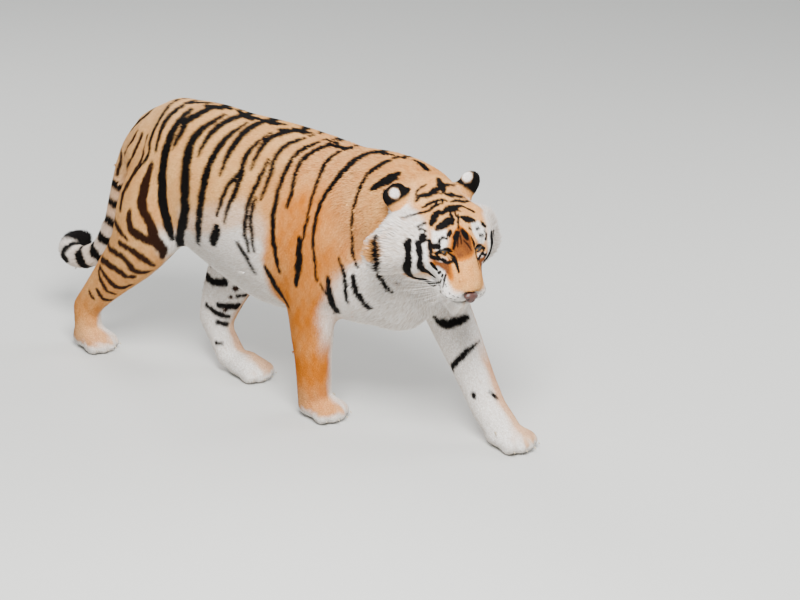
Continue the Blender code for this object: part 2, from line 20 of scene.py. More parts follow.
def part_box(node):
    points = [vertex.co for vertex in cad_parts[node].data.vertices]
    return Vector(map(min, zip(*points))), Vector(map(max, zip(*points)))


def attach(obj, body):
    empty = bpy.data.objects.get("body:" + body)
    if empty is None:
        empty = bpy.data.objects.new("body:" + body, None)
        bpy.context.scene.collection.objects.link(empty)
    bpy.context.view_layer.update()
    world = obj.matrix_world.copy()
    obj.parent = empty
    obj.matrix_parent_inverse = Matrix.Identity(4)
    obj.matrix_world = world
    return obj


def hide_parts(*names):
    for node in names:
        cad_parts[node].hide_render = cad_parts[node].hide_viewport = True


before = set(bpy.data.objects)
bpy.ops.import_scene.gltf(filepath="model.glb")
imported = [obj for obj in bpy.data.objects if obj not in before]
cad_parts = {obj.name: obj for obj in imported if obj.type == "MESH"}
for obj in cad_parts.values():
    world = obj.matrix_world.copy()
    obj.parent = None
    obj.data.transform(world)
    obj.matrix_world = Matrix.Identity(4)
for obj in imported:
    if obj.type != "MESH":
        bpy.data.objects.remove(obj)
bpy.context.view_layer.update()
MM = 0.001
DICE = np.random.default_rng(11)

# The head, as the solids have it.
HEAD_AT = (0.801, -0.133, 0.737)
HEAD_TURN = math.radians(-21)
HEAD_DROP = math.radians(24)
HEAD_LEAN = math.radians(5.5)
EYE_SPREAD = 0.060
EYE_BACK = 0.004
EYE_RADIUS = 17.5 * MM
NOSE_TIP = (0.135, 0.0, -0.080)
GLOBE = (-0.06, 0.0, -0.03)     # the middle of the globe that marks on the head are set out on
# The line of the closed mouth: how far up it lies, by how far forward.
MOUTH_LINE = ((-0.03, 0.03, 0.09, 0.13), (-0.108, -0.110, -0.121, -0.119))
SIDES = {"left": 1, "right": -1}

# The skin.
SKIN_GRAIN = 4 * MM
BODY_FACES = 60000
LONGEST_EDGE = 13 * MM

TRUNK = ("barrel", "chest", "neck", "rump")
HEAD_PARTS = ("head", "lower_jaw")
TAIL = ("tail_base", "tail_middle", "tail_tip")
LEGS = ("shoulder", "forearm", "thigh", "shank", "hock", "paw_front", "paw_hind")
EARS = ("ear_left", "ear_right")
FLESH = TRUNK + HEAD_PARTS + TAIL + EARS + tuple(
    "%s_%s" % (leg, side) for leg in LEGS for side in SIDES)

# The coat on each part: length and depth in millimetres, the way it lies as (forward, left, up),
# how warm its ground colour is and how pale it is, from 0 to 1.
COAT = {
    "barrel": (15, 7, (-1, 0, -0.30), 0.22, 0.00),
    "chest": (19, 9, (-0.8, 0, -0.60), 0.50, 0.03),
    "neck": (20, 10, (-1, 0, -0.50), 0.50, 0.00),
    "rump": (14, 6, (-0.8, 0, -0.60), 0.15, 0.05),
    "head": (7, 3, (-1, 0, 0), 0.45, 0.00),
    "lower_jaw": (9, 3, (-1, 0, 0), 0.10, 0.90),
    "tail_base": (20, 6, (-0.3, 0, -1), 0.30, 0.30),
    "tail_middle": (20, 7, (-0.5, 0, -0.85), 0.20, 0.70),
    "tail_tip": (22, 8, (-0.9, 0.3, 0.10), 0.10, 0.95),
    "ear_left": (6, 1, (-0.3, 0.5, 0.80), 0.30, 0.30),
    "ear_right": (6, 1, (-0.6, -0.4, 0.60), 0.30, 0.30),
    "shoulder_left": (14, 6, (-0.25, 0, -1), 0.80, 0.00),
    "shoulder_right": (14, 6, (-0.35, 0, -1), 0.85, 0.00),
    "forearm_left": (10, 4, (0.55, 0, -0.80), 0.65, 0.25),
    "forearm_right": (10, 4, (-0.05, 0, -1), 0.95, 0.00),
    "thigh_left": (13, 5, (-0.20, 0, -1), 0.30, 0.00),
    "thigh_right": (13, 5, (-0.50, 0, -1), 0.30, 0.00),
    "shank_left": (10, 4, (-0.30, 0, -1), 0.50, 0.15),
    "shank_right": (10, 4, (-0.70, 0, -0.80), 0.50, 0.00),
    "hock_left": (11, 3, (0.40, 0, -1), 0.50, 0.30),
    "hock_right": (11, 3, (0, 0, -1), 0.60, 0.00),
    "paw_front_left": (8, 3, (1, 0, -0.40), 0.50, 0.25),
    "paw_front_right": (8, 3, (1, 0, -0.40), 0.65, 0.05),
    "paw_hind_left": (8, 3, (1, 0, -0.40), 0.50, 0.25),
    "paw_hind_right": (8, 3, (1, 0, -0.40), 0.55, 0.10),
}

# Markings, in millimetres on the body and in degrees on the head.
# Stripes of the flank, each through places (forward, up, width) from the back down.
FLANK_STRIPES = (
    ((-560, 880, 14), (-570, 855, 14), (-650, 785, 5)),
    ((-470, 930, 12), (-455, 895, 12), (-460, 825, 12), (-450, 780, 10), (-500, 705, 5)),
    ((-410, 930, 18), (-425, 880, 16), (-415, 800, 6)),
    ((-365, 920, 20), (-372, 860, 30), (-367, 750, 36), (-362, 650, 36), (-351, 580, 30),
     (-348, 540, 22), (-351, 508, 8)),
    ((-300, 935, 34), (-340, 900, 28), (-336, 870, 20), (-343, 820, 6)),
    ((-235, 925, 12), (-270, 880, 30), (-277, 830, 34), (-262, 740, 40), (-258, 650, 40),
     (-275, 595, 36), (-310, 540, 30), (-345, 478, 22)),
    ((-150, 935, 34), (-200, 920, 30), (-225, 880, 22), (-232, 820, 6)),
    ((-130, 925, 10), (-155, 885, 22), (-172, 830, 28), (-178, 750, 30), (-185, 660, 28),
     (-200, 590, 24), (-220, 530, 16)),
    ((-50, 935, 26), (-100, 920, 30), (-110, 880, 26), (-120, 790, 6)),
    ((-20, 915, 8), (-44, 865, 18), (-42, 810, 18), (-75, 760, 14), (-95, 700, 12), (-105, 660, 8)),
    ((-30, 815, 12), (-40, 750, 16), (-62, 690, 12), (-72, 645, 6)),
    ((50, 930, 28), (0, 910, 24), (-6, 880, 18), (-2, 825, 6)),
    ((105, 920, 10), (70, 900, 18), (62, 870, 14), (75, 820, 14), (68, 750, 5)),
    ((45, 860, 8), (40, 800, 14), (22, 720, 14), (15, 640, 14), (30, 570, 8)),
    ((47, 750, 8), (41, 690, 12), (48, 620, 12), (54, 575, 6)),
    ((170, 920, 10), (130, 895, 14), (122, 860, 14), (125, 780, 14), (127, 700, 14), (137, 610, 14),
     (145, 525, 8)),
    ((210, 920, 10), (170, 895, 16), (157, 865, 14), (173, 790, 10), (172, 745, 4)),
    ((260, 920, 16), (240, 885, 10), (248, 850, 8), (252, 750, 7), (246, 660, 5)),
    ((400, 935, 16), (345, 910, 26), (325, 875, 22), (308, 835, 16), (288, 780, 10), (282, 670, 6),
     (292, 530, 5)),
    ((470, 930, 14), (440, 905, 22), (422, 875, 12), (418, 780, 6), (417, 660, 7), (431, 600, 5)),
    ((235, 655, 14), (229, 585, 20), (208, 495, 12)),
    ((331, 545, 10), (333, 480, 20), (317, 405, 16)),
    ((375, 615, 6), (391, 555, 12), (380, 465, 8)),
    ((421, 565, 10), (422, 507, 18), (445, 455, 18)),
    ((90, 525, 14), (106, 480, 22), (119, 432, 22), (160, 400, 10)),
    ((-17, 590, 10), (13, 548, 16), (34, 494, 10)),
    ((-106, 613, 34), (-135, 560, 30)),
)
# Browner stripes of the buttock and the thigh.
THIGH_STRIPES = (
    ((-545, 810, 8), (-575, 720, 10), (-660, 640, 6)),
    ((-512, 810, 8), (-482, 758, 12), (-520, 680, 16), (-544, 630, 18), (-547, 575, 10)),
    ((-576, 810, 6), (-600, 770, 10), (-666, 705, 6)),
    ((-700, 710, 8), (-690, 680, 12), (-710, 620, 10)),
    ((-425, 757, 12), (-435, 700, 30), (-442, 635, 36), (-430, 595, 34), (-404, 555, 32),
     (-400, 522, 36), (-392, 487, 42), (-390, 458, 28), (-405, 425, 10)),
    ((-491, 590, 10), (-495, 550, 24), (-478, 520, 34), (-438, 505, 32), (-405, 492, 30)),
    ((-620, 535, 12), (-573, 516, 20), (-532, 498, 15), (-505, 483, 6)),
    ((-548, 460, 16), (-503, 450, 20), (-470, 436, 26), (-447, 412, 22), (-440, 394, 10)),
    ((-680, 445, 8), (-617, 423, 16), (-555, 416, 20), (-522, 400, 22), (-508, 372, 24),
     (-485, 362, 18), (-460, 368, 6)),
    ((-665, 368, 18), (-613, 365, 22), (-566, 354, 22), (-544, 338, 18), (-515, 341, 10)),
    ((-672, 340, 8), (-635, 315, 16), (-613, 290, 20), (-587, 281, 16), (-545, 300, 6)),
    ((-676, 322, 8), (-661, 286, 15), (-647, 258, 12), (-628, 246, 6)),
    ((-690, 250, 10), (-683, 226, 13), (-667, 211, 14), (-648, 214, 6)),
    ((-735, 232, 8), (-722, 212, 10)),
)
# How far the left hind leg has stepped ahead of the right, by how high.
LEFT_STEP = ((200, 300, 450, 600, 750), (380, 320, 160, 50, 0))
# Patches along the spine, through places (forward, left, width).
SPINE_MARKS = (
    ((-330, -10, 20), (-260, 20, 26)),
    ((-230, 30, 16), (-180, 10, 22), (-90, 0, 18)),
    ((-50, -10, 16), (-20, 10, 16)),
    ((0, -30, 16), (90, 10, 16)),
    ((190, -20, 16), (260, -10, 22)),
    ((-410, -20, 16), (-350, 20, 22)),
    ((470, -140, 10), (500, -130, 30), (530, -100, 24)),
)
# Marks on the inner faces of the legs, through (forward, up, width).
INNER_MARKS = {
    "left": (
        ((719, 170, 10), (722, 160, 10)),
        ((767, 179, 6), (812, 130, 6)),
        ((-330, 226, 16), (-270, 222, 22)),
        ((-380, 216, 10), (-340, 198, 14), (-305, 186, 16)),
        ((-330, 166, 10), (-280, 152, 14)),
        ((-318, 100, 8), (-297, 104, 8)),
        ((-400, 305, 24), (-350, 300, 22), (-310, 308, 26)),
        ((-270, 262, 10), (-230, 268, 14)),
    ),
    "right": (
        ((150, 330, 14), (240, 310, 20)),
        ((150, 240, 10), (220, 220, 14)),
        ((-600, 330, 12), (-680, 260, 16)),
    ),
}
# Marks that bend round the body, through (forward, left, up, width).
ROUND_MARKS = (
    ((598, -300, 785, 16), (607, -310, 764, 28), (619, -320, 731, 32), (622, -320, 691, 26),
     (600, -290, 655, 18)),
    ((520, -190, 620, 18), (505, -155, 572, 20), (523, -140, 532, 16), (541, -130, 520, 10)),
    ((466, -150, 862, 22), (503, -140, 886, 30), (540, -120, 905, 22)),
    ((524, -160, 868, 16), (570, -150, 885, 20)),
    ((513, 10, 930, 16), (534, 10, 926, 26), (596, -30, 923, 26)),
    ((555, 60, 380, 18), (580, 70, 372, 32), (613, 70, 378, 36), (643, 100, 394, 30),
     (657, 120, 400, 16)),
    ((622, 70, 225, 20), (632, 70, 243, 24), (655, 60, 269, 24), (678, 80, 298, 20),
     (693, 100, 318, 14), (697, 130, 326, 6)),
    ((309, -210, 517, 10), (333, -190, 466, 14), (312, -130, 395, 12)),
    ((500, 200, 760, 16), (520, 220, 700, 26), (510, 200, 620, 24), (490, 160, 560, 12)),
)

# Dark marks of the face, through (over the brow, out to the left) in degrees and a width in mm.
FACE_MARKS = (
    ((139, -33, 13), (138, -26, 20), (133, -19, 20), (132, -12, 20), (132, -5, 23)),
    ((144, 6, 15), (136, 2, 34), (131, 1, 27)),
    ((136, 8, 16), (140, 15, 16), (142, 23, 10)),
    ((141, -31, 8), (143, -20, 10), (141, -12, 7)),
    ((127, 2, 16), (127, 10, 19), (130, 24, 13), (138, 36, 7)),
    ((130, -13, 6), (128, -4, 8), (127, 4, 8)),
    ((127, -37, 10), (127, -28, 14), (125, -18, 14), (123, -10, 10), (121, -2, 12)),
    ((119, 3, 8), (122, 18, 14), (127, 32, 14), (133, 40, 15)),
    ((129, -62, 8), (124, -58, 10), (119, -53, 10), (115, -47, 13), (113, -40, 12), (119, -27, 14),
     (119, -17, 12), (118, -9, 8)),
    ((100, -24, 14), (103, -14, 22), (107, -4, 24), (108, 7, 21), (112, 22, 14), (108, 32, 14),
     (101, 38, 10)),
    ((97, -10, 8), (102, 2, 16), (97, 10, 8)),
    ((87, -46, 18), (94, -40, 24), (104, -31, 24), (107, -25, 16)),
    ((76, -43, 15), (78, -35, 26), (80, -26, 31), (84, -20, 23)),
    ((76, -16, 16), (85, -13, 21), (93, -11, 13)),
    ((91, 3, 8), (80, -3, 10), (66, -8, 8)),
    ((85, 8, 18), (81, 14, 27), (82, 25, 24), (83, 36, 13)),
    ((57, -28, 18), (63, -24, 14)),
    ((50, -17, 21), (58, -12, 18)),
    ((61, -1, 16), (54, 2, 21), (46, 5, 13)),
    ((42, -20, 12), (30, -22, 7)),
    ((48, 15, 7), (37, 18, 10), (26, 20, 7)),
    ((64, 14, 10), (62, 19, 6)),
    ((79, 48, 15), (71, 54, 14)),
    ((63, 54, 8), (51, 59, 10), (40, 58, 13)),
    ((63, 33, 13), (67, 44, 8)),
    ((49, 38, 13), (51, 52, 13)),
    ((65, -63, 28), (60, -64, 28)),
    ((53, -58, 14), (33, -59, 15), (22, -56, 14)),
    ((37, -53, 21), (35, -47, 18)),
    ((43, -44, 8), (48, -45, 8), (54, -38, 11), (50, -32, 8)),
    ((12, -55, 14), (11, -47, 14), (9, -38, 12), (8, -32, 8)),
    ((-3, -51, 12), (-9, -45, 14), (-11, -40, 10)),
    ((-14, -36, 11), (-10, -35, 10)),
    ((-11, -31, 8), (-14, -31, 8)),
    ((-38, -25, 8), (-18, -30, 8)),
    ((-20, -26, 8), (-8, -28, 8)),
    ((94, -61, 8), (92, -56, 10), (92, -51, 10)),
    ((86, -61, 10), (82, -58, 8), (77, -57, 10)),
    ((10, 42, 10), (4, 50, 13), (-3, 54, 11)),
    ((-10, 34, 10), (-14, 38, 10)),
    ((-20, 27, 8), (-8, 29, 8)),
)
# The black rims of the eyes and the tear marks that run on from them, the same on both sides.
LID_MARKS = (
    ((20, 50, 10), (25, 41, 17), (28, 33, 19), (19, 25, 19), (12, 19, 14), (3, 15, 7)),
    ((17, 47, 9), (9, 39, 10), (5, 31, 10), (10, 23, 12)),
)
# Dark spots in rows on the whisker pads, the same on both sides.
PAD_SPOTS = ((-17, 12), (-17, 16), (-17, 20), (-16, 24), (-15, 28), (-21, 13), (-21, 17), (-22, 21),
             (-22, 25), (-21, 29), (-26, 15), (-27, 19), (-27, 23), (-27, 27))
# Cheek stripes, the same on the left and on the right, though a little higher on the left.
CHEEK_MARKS = (
    ((52, 70, 22), (28, 69, 22), (-3, 65, 20), (-27, 59, 25), (-39, 49, 22), (-43, 40, 16),
     (-39, 33, 14)),
    ((72, 78, 19), (54, 81, 28), (20, 80, 26), (-6, 78, 23), (-32, 73, 29), (-54, 66, 32),
     (-70, 56, 32), (-84, 46, 32)),
    ((-86, 44, 32), (-83, 36, 32), (-75, 31, 29), (-58, 30, 26), (-44, 26, 14)),
)
CHEEK_LIFT = 4
# Fine red-brown lines that run down between the eyes.
RUST_MARKS = (
    ((49, -14, 6), (34, -15, 5)),
    ((44, -3, 4), (35, 5, 7), (27, 9, 5)),
    ((52, -8, 6), (38, -8, 5)),
    ((98, 0, 8), (88, -3, 9)),
)
# White parts of the face as outlines in the same degrees, and what lies on both sides of it.
WHITE_AREAS = (
    ((76, -50), (71, -45), (69, -29), (48, -31), (27, -35), (24, -47), (32, -54), (52, -56)),
    ((75, 22), (82, 42), (66, 56), (36, 58), (30, 50), (36, 30), (60, 20)),
)
WHITE_BOTH = (
    ((57, 66), (20, 66), (-5, 61), (-27, 54), (-37, 47), (-39, 36), (-14, 30), (-12, 42),
     (-5, 54), (22, 60), (52, 61)),
    ((-13, 0), (-12, 5), (-12, 10), (-14, 17), (-13, 22), (-10, 26), (-6, 30), (-5, 36), (-4, 42),
     (-14, 46), (-30, 44), (-45, 36), (-60, 30), (-89, 20), (-89, 0)),
    ((12, 47), (12, 38), (9, 31), (6, 32), (6, 40), (9, 47)),
)
RUST_AREAS = (
    ((52, -22), (69, -5), (50, 12), (24, 15), (19, -3), (15, -19), (28, -26)),
)
RUST_BOTH = (
    ((9, 54), (7, 40), (8, 26), (-6, 22), (-8, 32), (-7, 44)),
)
# The edge of the white ruff: how far out to the side it reaches, by how far up.
RUFF_EDGE = ((-0.14, -0.110, -0.053, -0.03, 0.0, 0.026, 0.041, 0.057, 0.070),
             (0.40, 0.224, 0.218, 0.210, 0.202, 0.186, 0.152, 0.132, 0.09))
# Where the flank turns white, by how far forward, and where the breast does, by how high.
BELLY_EDGE = ((-0.45, -0.35, -0.27, -0.06, 0.02, 0.08, 0.17, 0.30),
              (0.48, 0.510, 0.568, 0.655, 0.650, 0.620, 0.520, 0.44))
BREAST_EDGE = ((0.36, 0.42, 0.47, 0.535, 0.60, 0.64, 0.68, 0.72),
               (0.27, 0.295, 0.34, 0.37, 0.42, 0.50, 0.60, 0.80))

TAIL_LINE = ((-0.60, 0.0, 0.78), (-0.672, 0.0, 0.70), (-0.718, 0.0, 0.58), (-0.755, 0.0, 0.44),
             (-0.808, 0.0, 0.33), (-0.872, -0.006, 0.284), (-0.936, -0.004, 0.270),
             (-0.984, 0.016, 0.280), (-0.990, 0.048, 0.299), (-0.958, 0.076, 0.306))
TAIL_RING = 0.072


# ---------------------------------------------------------------- places

def axes(turn, drop=0.0, lean=0.0):
    """Rotation whose columns are forward, left and up of a piece turned from the body's own."""
    body = Matrix(((0, 1, 0), (-1, 0, 0), (0, 0, 1)))
    return (body @ Euler((lean, drop, turn), "XYZ").to_matrix()).to_4x4()


def frames():
    """The frame of the body and the frame of the head, set by where the left eye is."""
    body = axes(0.0)
    head = Matrix.Translation(body @ Vector(HEAD_AT)) @ axes(HEAD_TURN, HEAD_DROP, -HEAD_LEAN)
    low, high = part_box("eye_left")
    shift = (low + high) / 2 - head @ Vector((EYE_BACK, EYE_SPREAD, 0.0))
    move = Matrix.Translation((shift.x, shift.y, 0.0))
    return move @ body, move @ head


BODY, HEAD = frames()


def local(matrix, points):
    """Places of points in a frame."""
    rows = np.array(matrix.inverted())
    return points @ rows[:3, :3].T + rows[:3, 3]


def spread(matrix, vectors):
    """Turn a frame's own directions into the world's."""
    return vectors @ np.array(matrix)[:3, :3].T


def placed(matrix, points):
    """Turn places in a frame into the world's."""
    return spread(matrix, points) + np.array(matrix)[:3, 3]


def ramp(values, low, high):
    """0 below one value, 1 above another, smooth between."""
    share = np.clip((values - low) / (high - low), 0.0, 1.0)
    return share * share * (3 - 2 * share)


def unit(vectors):
    """Vectors at length one."""
    return vectors / np.maximum(np.linalg.norm(vectors, axis=-1, keepdims=True), 1e-9)


# ---------------------------------------------------------------- meshes

def add_object(name, data):
    """Put a mesh, a light or a camera in the scene."""
    made = bpy.data.objects.new(name, data)
    bpy.context.scene.collection.objects.link(made)
    return made


def alone(item):
    """Make an object the only one selected, and the active one."""
    bpy.ops.object.select_all(action="DESELECT")
    item.select_set(True)
    bpy.context.view_layer.objects.active = item


def primitive(name, operator, **settings):
    """A new object from one of Blender's own shapes."""
    bpy.ops.object.select_all(action="DESELECT")
    operator(**settings)
    item = bpy.context.object
    item.name = name
    item.data.name = name
    return item


def edit_all(item, operator, **settings):
    """Run an operator on all of a mesh."""
    alone(item)
    bpy.ops.object.mode_set(mode="EDIT")
    bpy.ops.mesh.select_all(action="SELECT")
    operator(**settings)
    bpy.ops.object.mode_set(mode="OBJECT")


def smooth(item):
    """Shade an object smooth."""
    alone(item)
    bpy.ops.object.shade_smooth()


@contextmanager
def opened(item):
    """An object's mesh as a bmesh, which is written back when the work on it is done."""
    shape = bmesh.new()
    shape.from_mesh(item.data)
    yield shape
    shape.to_mesh(item.data)
    shape.free()
    item.data.update()


def apply_all(item):
    """Apply an object's modifiers."""
    alone(item)
    for step in list(item.modifiers):
        bpy.ops.object.modifier_apply(modifier=step.name)


def joined_copy(names, title):
    """One object out of copies of frame nodes, with their doubled points merged."""
    copies = []
    for name in names:
        copies.append(add_object(title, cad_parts[name].data.copy()))
    bpy.ops.object.select_all(action="DESELECT")
    for item in copies:
        item.select_set(True)
    bpy.context.view_layer.objects.active = copies[0]
    bpy.ops.object.join()
    made = copies[0]
    edit_all(made, bpy.ops.mesh.remove_doubles, threshold=0.01 * MM)
    made.data.materials.clear()
    made.name = title
    made.data.name = title
    return made


def read(items, key, width, kind=np.int32):
    """One property of a mesh's points, edges, corners or faces, as rows of an array."""
    flat = np.empty(len(items) * width, kind)
    items.foreach_get(key, flat)
    return flat.reshape(-1, width) if width > 1 else flat


def points_of(mesh):
    """A mesh's points as an array."""
    return read(mesh.vertices, "co", 3, np.float32).astype(float)


def set_points(mesh, points):
    """Move a mesh's points."""
    mesh.vertices.foreach_set("co", points.astype(np.float32).ravel())
    mesh.update()


def normals_of(mesh):
    """A mesh's point normals as an array."""
    return read(mesh.vertex_normals, "vector", 3, np.float32).astype(float)


def evened(values, edges, rounds):
    """Spread values over a mesh, each point taking half of its neighbours' mean each round."""
    count = len(values)
    ends = np.concatenate((edges[:, 0], edges[:, 1]))
    others = np.concatenate((edges[:, 1], edges[:, 0]))
    degree = np.maximum(np.bincount(ends, minlength=count), 1)
    columns = values.reshape(count, -1).copy()
    for _ in range(rounds):
        for column in range(columns.shape[1]):
            mean = np.bincount(ends, weights=columns[others, column], minlength=count) / degree
            columns[:, column] = 0.5 * columns[:, column] + 0.5 * mean
    return columns.reshape(values.shape)


def tree_of(mesh):
    """A search tree over a mesh's faces."""
    return BVHTree.FromPolygons([Vector(point) for point in points_of(mesh)],
                                [list(face.vertices) for face in mesh.polygons])


def put_attribute(mesh, name, values):
    """Store a value for each point of a mesh."""
    layer = mesh.attributes.new(name, "FLOAT", "POINT")
    layer.data.foreach_set("value", values.astype(np.float32))


# ---------------------------------------------------------------- skin

def solid_tree():
    """A search tree over the solids' faces, and the node each face belongs to."""
    points, faces, homes = [], [], []
    for number, name in enumerate(FLESH):
        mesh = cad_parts[name].data
        base = len(points)
        points.extend(point.co.copy() for point in mesh.vertices)
        for face in mesh.polygons:
            faces.append([base + index for index in face.vertices])
            homes.append(number)
    return BVHTree.FromPolygons(points, faces), np.array(homes)


def among(home, *names):
    """Which points have their home in some of the solids, each named whole or by its leg."""
    return np.isin(home, [number for number, name in enumerate(FLESH)
                          if name in names or name.rsplit("_", 1)[0] in names])


def homes_of(points):
    """The number in FLESH of the solid that each point is nearest to."""
    tree, homes = solid_tree()
    return np.array([homes[tree.find_nearest(Vector(point))[2]] for point in points])


def raw_skin():
    """The flesh and ears as one even skin, thinned where the body is broad."""
    skin = joined_copy(FLESH + ("eye_left", "eye_right"), "skin")
    fuse = skin.modifiers.new("fuse", "REMESH")
    fuse.mode = "VOXEL"
    fuse.voxel_size = SKIN_GRAIN
    apply_all(skin)
    places = points_of(skin.data)
    broad = skin.vertex_groups.new(name="broad")
    share = broad_share(places)
    for level in range(11):
        chosen = np.nonzero(np.round(share * 10) == level)[0]
        if len(chosen):
            broad.add(chosen.tolist(), level / 10, "REPLACE")
    smooth = skin.modifiers.new("smooth", "SMOOTH")
    smooth.vertex_group = "broad"
    smooth.factor = 0.6
    smooth.iterations = 70
    soften = skin.modifiers.new("soften", "SMOOTH")
    soften.factor = 0.5
    soften.iterations = 3
    apply_all(skin)
    keep_largest(skin)
    form = tree_of(skin.data)
    thin = skin.modifiers.new("thin", "DECIMATE")
    thin.ratio = BODY_FACES / (2 * len(skin.data.polygons))
    thin.vertex_group = "broad"
    thin.vertex_group_factor = 0.5
    apply_all(skin)
    skin.vertex_groups.clear()
    divide_long(skin, form)
    return skin


def divide_long(skin, form):
    """Divide the skin's long edges, so that it can carry markings, and keep to its form."""
    with opened(skin) as shape:
        old = set(shape.verts)
        for _ in range(6):
            edges = [edge for edge in shape.edges if edge.calc_length() > LONGEST_EDGE]
            bmesh.ops.subdivide_edges(shape, edges=edges, cuts=1)
            bmesh.ops.triangulate(shape, faces=[face for face in shape.faces if len(face.verts) > 3])
        new = [point for point in shape.verts if point not in old]
        for point in new:
            point.co = form.find_nearest(point.co)[0]
        for _ in range(3):
            bmesh.ops.smooth_vert(shape, verts=new, factor=0.5, use_axis_x=True, use_axis_y=True,
                                  use_axis_z=True)


def broad_share(places):
    """1 on the broad forms of the body, less on the head, the legs, the ears and the tail."""
    head = local(HEAD, places)
    near_head = np.linalg.norm(head - np.array((-0.03, 0, -0.03)), axis=1)
    body = local(BODY, places)
    share = np.minimum(ramp(near_head, 0.15, 0.27), ramp(body[:, 2], 0.06, 0.16) * 0.35
                       + ramp(body[:, 2], 0.36, 0.52) * 0.65)
    share = np.where(body[:, 0] < -0.70, np.minimum(share, 0.3), share)
    return 0.10 + 0.90 * share


def keep_largest(item):
    """Drop all but the largest body of a mesh."""
    with opened(item) as shape:
        waiting = set(shape.verts)
        bodies = []
        while waiting:
            start = waiting.pop()
            body = {start}
            rim = [start]
            while rim:
                point = rim.pop()
                for edge in point.link_edges:
                    other = edge.other_vert(point)
                    if other not in body:
                        body.add(other)
                        rim.append(other)
            waiting -= body
            bodies.append(body)
        bodies.sort(key=len)
        for body in bodies[:-1]:
            bmesh.ops.delete(shape, geom=list(body), context="VERTS")


def refine(skin, middle, size):
    """Divide the skin's faces about a place on the head once more."""
    inverse = HEAD.inverted()
    with opened(skin) as shape:
        edges = set()
        for face in shape.faces:
            place = inverse @ face.calc_center_median() - Vector(middle)
            if sum((value / reach) ** 2 for value, reach in zip(place, size)) < 1:
                edges.update(face.edges)
        bmesh.ops.subdivide_edges(shape, edges=list(edges), cuts=1, use_grid_fill=True)
        bmesh.ops.triangulate(shape, faces=[face for face in shape.faces if len(face.verts) > 4])


# How the face is pushed about: (forward, left, up), the reach each way, the way it goes and how
# far, in the head's frame. Each is done on both sides.
FACE_PUSHES = (
    ((0.010, 0.046, 0.026), (0.026, 0.024, 0.012), (0.7, 0, 0.7), 0.004),    # brow
    ((0.034, 0.044, -0.012), (0.020, 0.014, 0.018), (-1, 0, 0), 0.006),      # inner corner
    ((0.040, 0.066, -0.022), (0.024, 0.018, 0.012), (-0.5, -0.6, -0.6), 0.004),
    ((0.055, 0.058, -0.048), (0.026, 0.016, 0.018), (-0.2, -1, 0), 0.006),   # beside the bridge
    ((0.092, 0.052, -0.096), (0.034, 0.024, 0.021), (0.3, 0.95, -0.1), 0.016),  # whisker pad
    ((0.118, 0.030, -0.104), (0.018, 0.018, 0.014), (0.9, 0.3, -0.2), 0.004),
    ((0.030, 0.078, -0.104), (0.028, 0.018, 0.014), (0, -1, 0.3), 0.006),    # mouth corner
    ((-0.030, 0.100, -0.010), (0.034, 0.024, 0.020), (0.3, 0.9, 0.2), 0.003),  # cheek bone
    ((-0.070, 0.034, 0.068), (0.050, 0.030, 0.020), (0, 0, 1), 0.003),       # top of the skull
    ((0.085, 0.012, -0.150), (0.036, 0.030, 0.028), (0.62, 0, -0.78), 0.018),  # chin
)


# The same for the body, in its own frame.
BODY_PUSHES = (
    ((-0.49, 0.05, 0.893), (0.055, 0.10, 0.05), (-0.4, 0, 1), 0.011),
)


def pushed(points, pushes):
    """Points pushed about on both sides of a frame, each push fading out over its reach."""
    for place, reach, way, amount in pushes:
        for sign in SIDES.values():
            turn = np.array((1, sign, 1))
            away = (points - np.array(place) * turn) / np.array(reach)
            share = np.exp(-(away ** 2).sum(1))
            points = points + share[:, None] * np.array(way) * turn * amount
    return points


def sculpt_body(points):
    """Fill the dip behind the hips."""
    return placed(BODY, pushed(local(BODY, points), BODY_PUSHES))


def sculpt_face(points):
    """Brow, pads, lids, lips and chin, as moves of the skin in the head's frame."""
    head = pushed(local(HEAD, points), FACE_PUSHES)
    crease = np.exp(-(head[:, 1] / 0.007) ** 2) * ramp(head[:, 2], 0.0, 0.04)
    head[:, 2] -= 0.002 * crease * ramp(head[:, 0], -0.10, -0.05)
    for side in SIDES.values():
        eye = np.array((EYE_BACK, side * EYE_SPREAD, 0.0))
        away = head - eye
        reach = np.linalg.norm(away, axis=1)
        ahead = unit(away)
        opening = lid_share(ahead, side)
        ball = EYE_RADIUS + 1.8 * MM
        lid = ramp(-reach, -2.0 * ball, -1.10 * ball) * ramp(ahead[:, 0], 0.0, 0.35)
        wanted = np.where(opening < 1, 0.80 * EYE_RADIUS, ball + 1.5 * MM * ramp(opening, 1, 1.8))
        near = (reach < 2.0 * ball) & (ahead[:, 0] > 0.1)
        shift = (wanted - reach) * np.where(opening < 1, 1.0, lid)
        head[near] += (ahead * shift[:, None])[near]
    # The line of the mouth, between the lips.
    line = np.interp(head[:, 0], *MOUTH_LINE)
    lip = np.exp(-((head[:, 2] - line) / 0.0035) ** 2) * ramp(head[:, 0], -0.01, 0.03)
    middle = np.array((0.03, 0.0, -0.11))
    inward = unit(middle - head)
    head += inward * (0.007 * lip)[:, None]
    # The groove from the nose down to the lip.
    groove = np.exp(-(head[:, 1] / 0.0022) ** 2) * ramp(head[:, 0], 0.10, 0.115)
    groove *= ramp(-head[:, 2], 0.092, 0.100) * ramp(head[:, 2], -0.124, -0.118)
    head[:, 0] -= 0.004 * groove
    return placed(HEAD, head)


LID_ACROSS = 0.93                # half the width of an eye's opening, in eye radii
LID_UP = 0.43                    # how high it reaches over its middle
LID_DOWN = 0.36                  # and how far below
LID_RAISE = 0.08                 # how far over the eye's middle the opening's middle lies
LID_SHIFT = 0.02                 # and how far out
LID_SLANT = math.radians(20)     # how far it turns up outwards


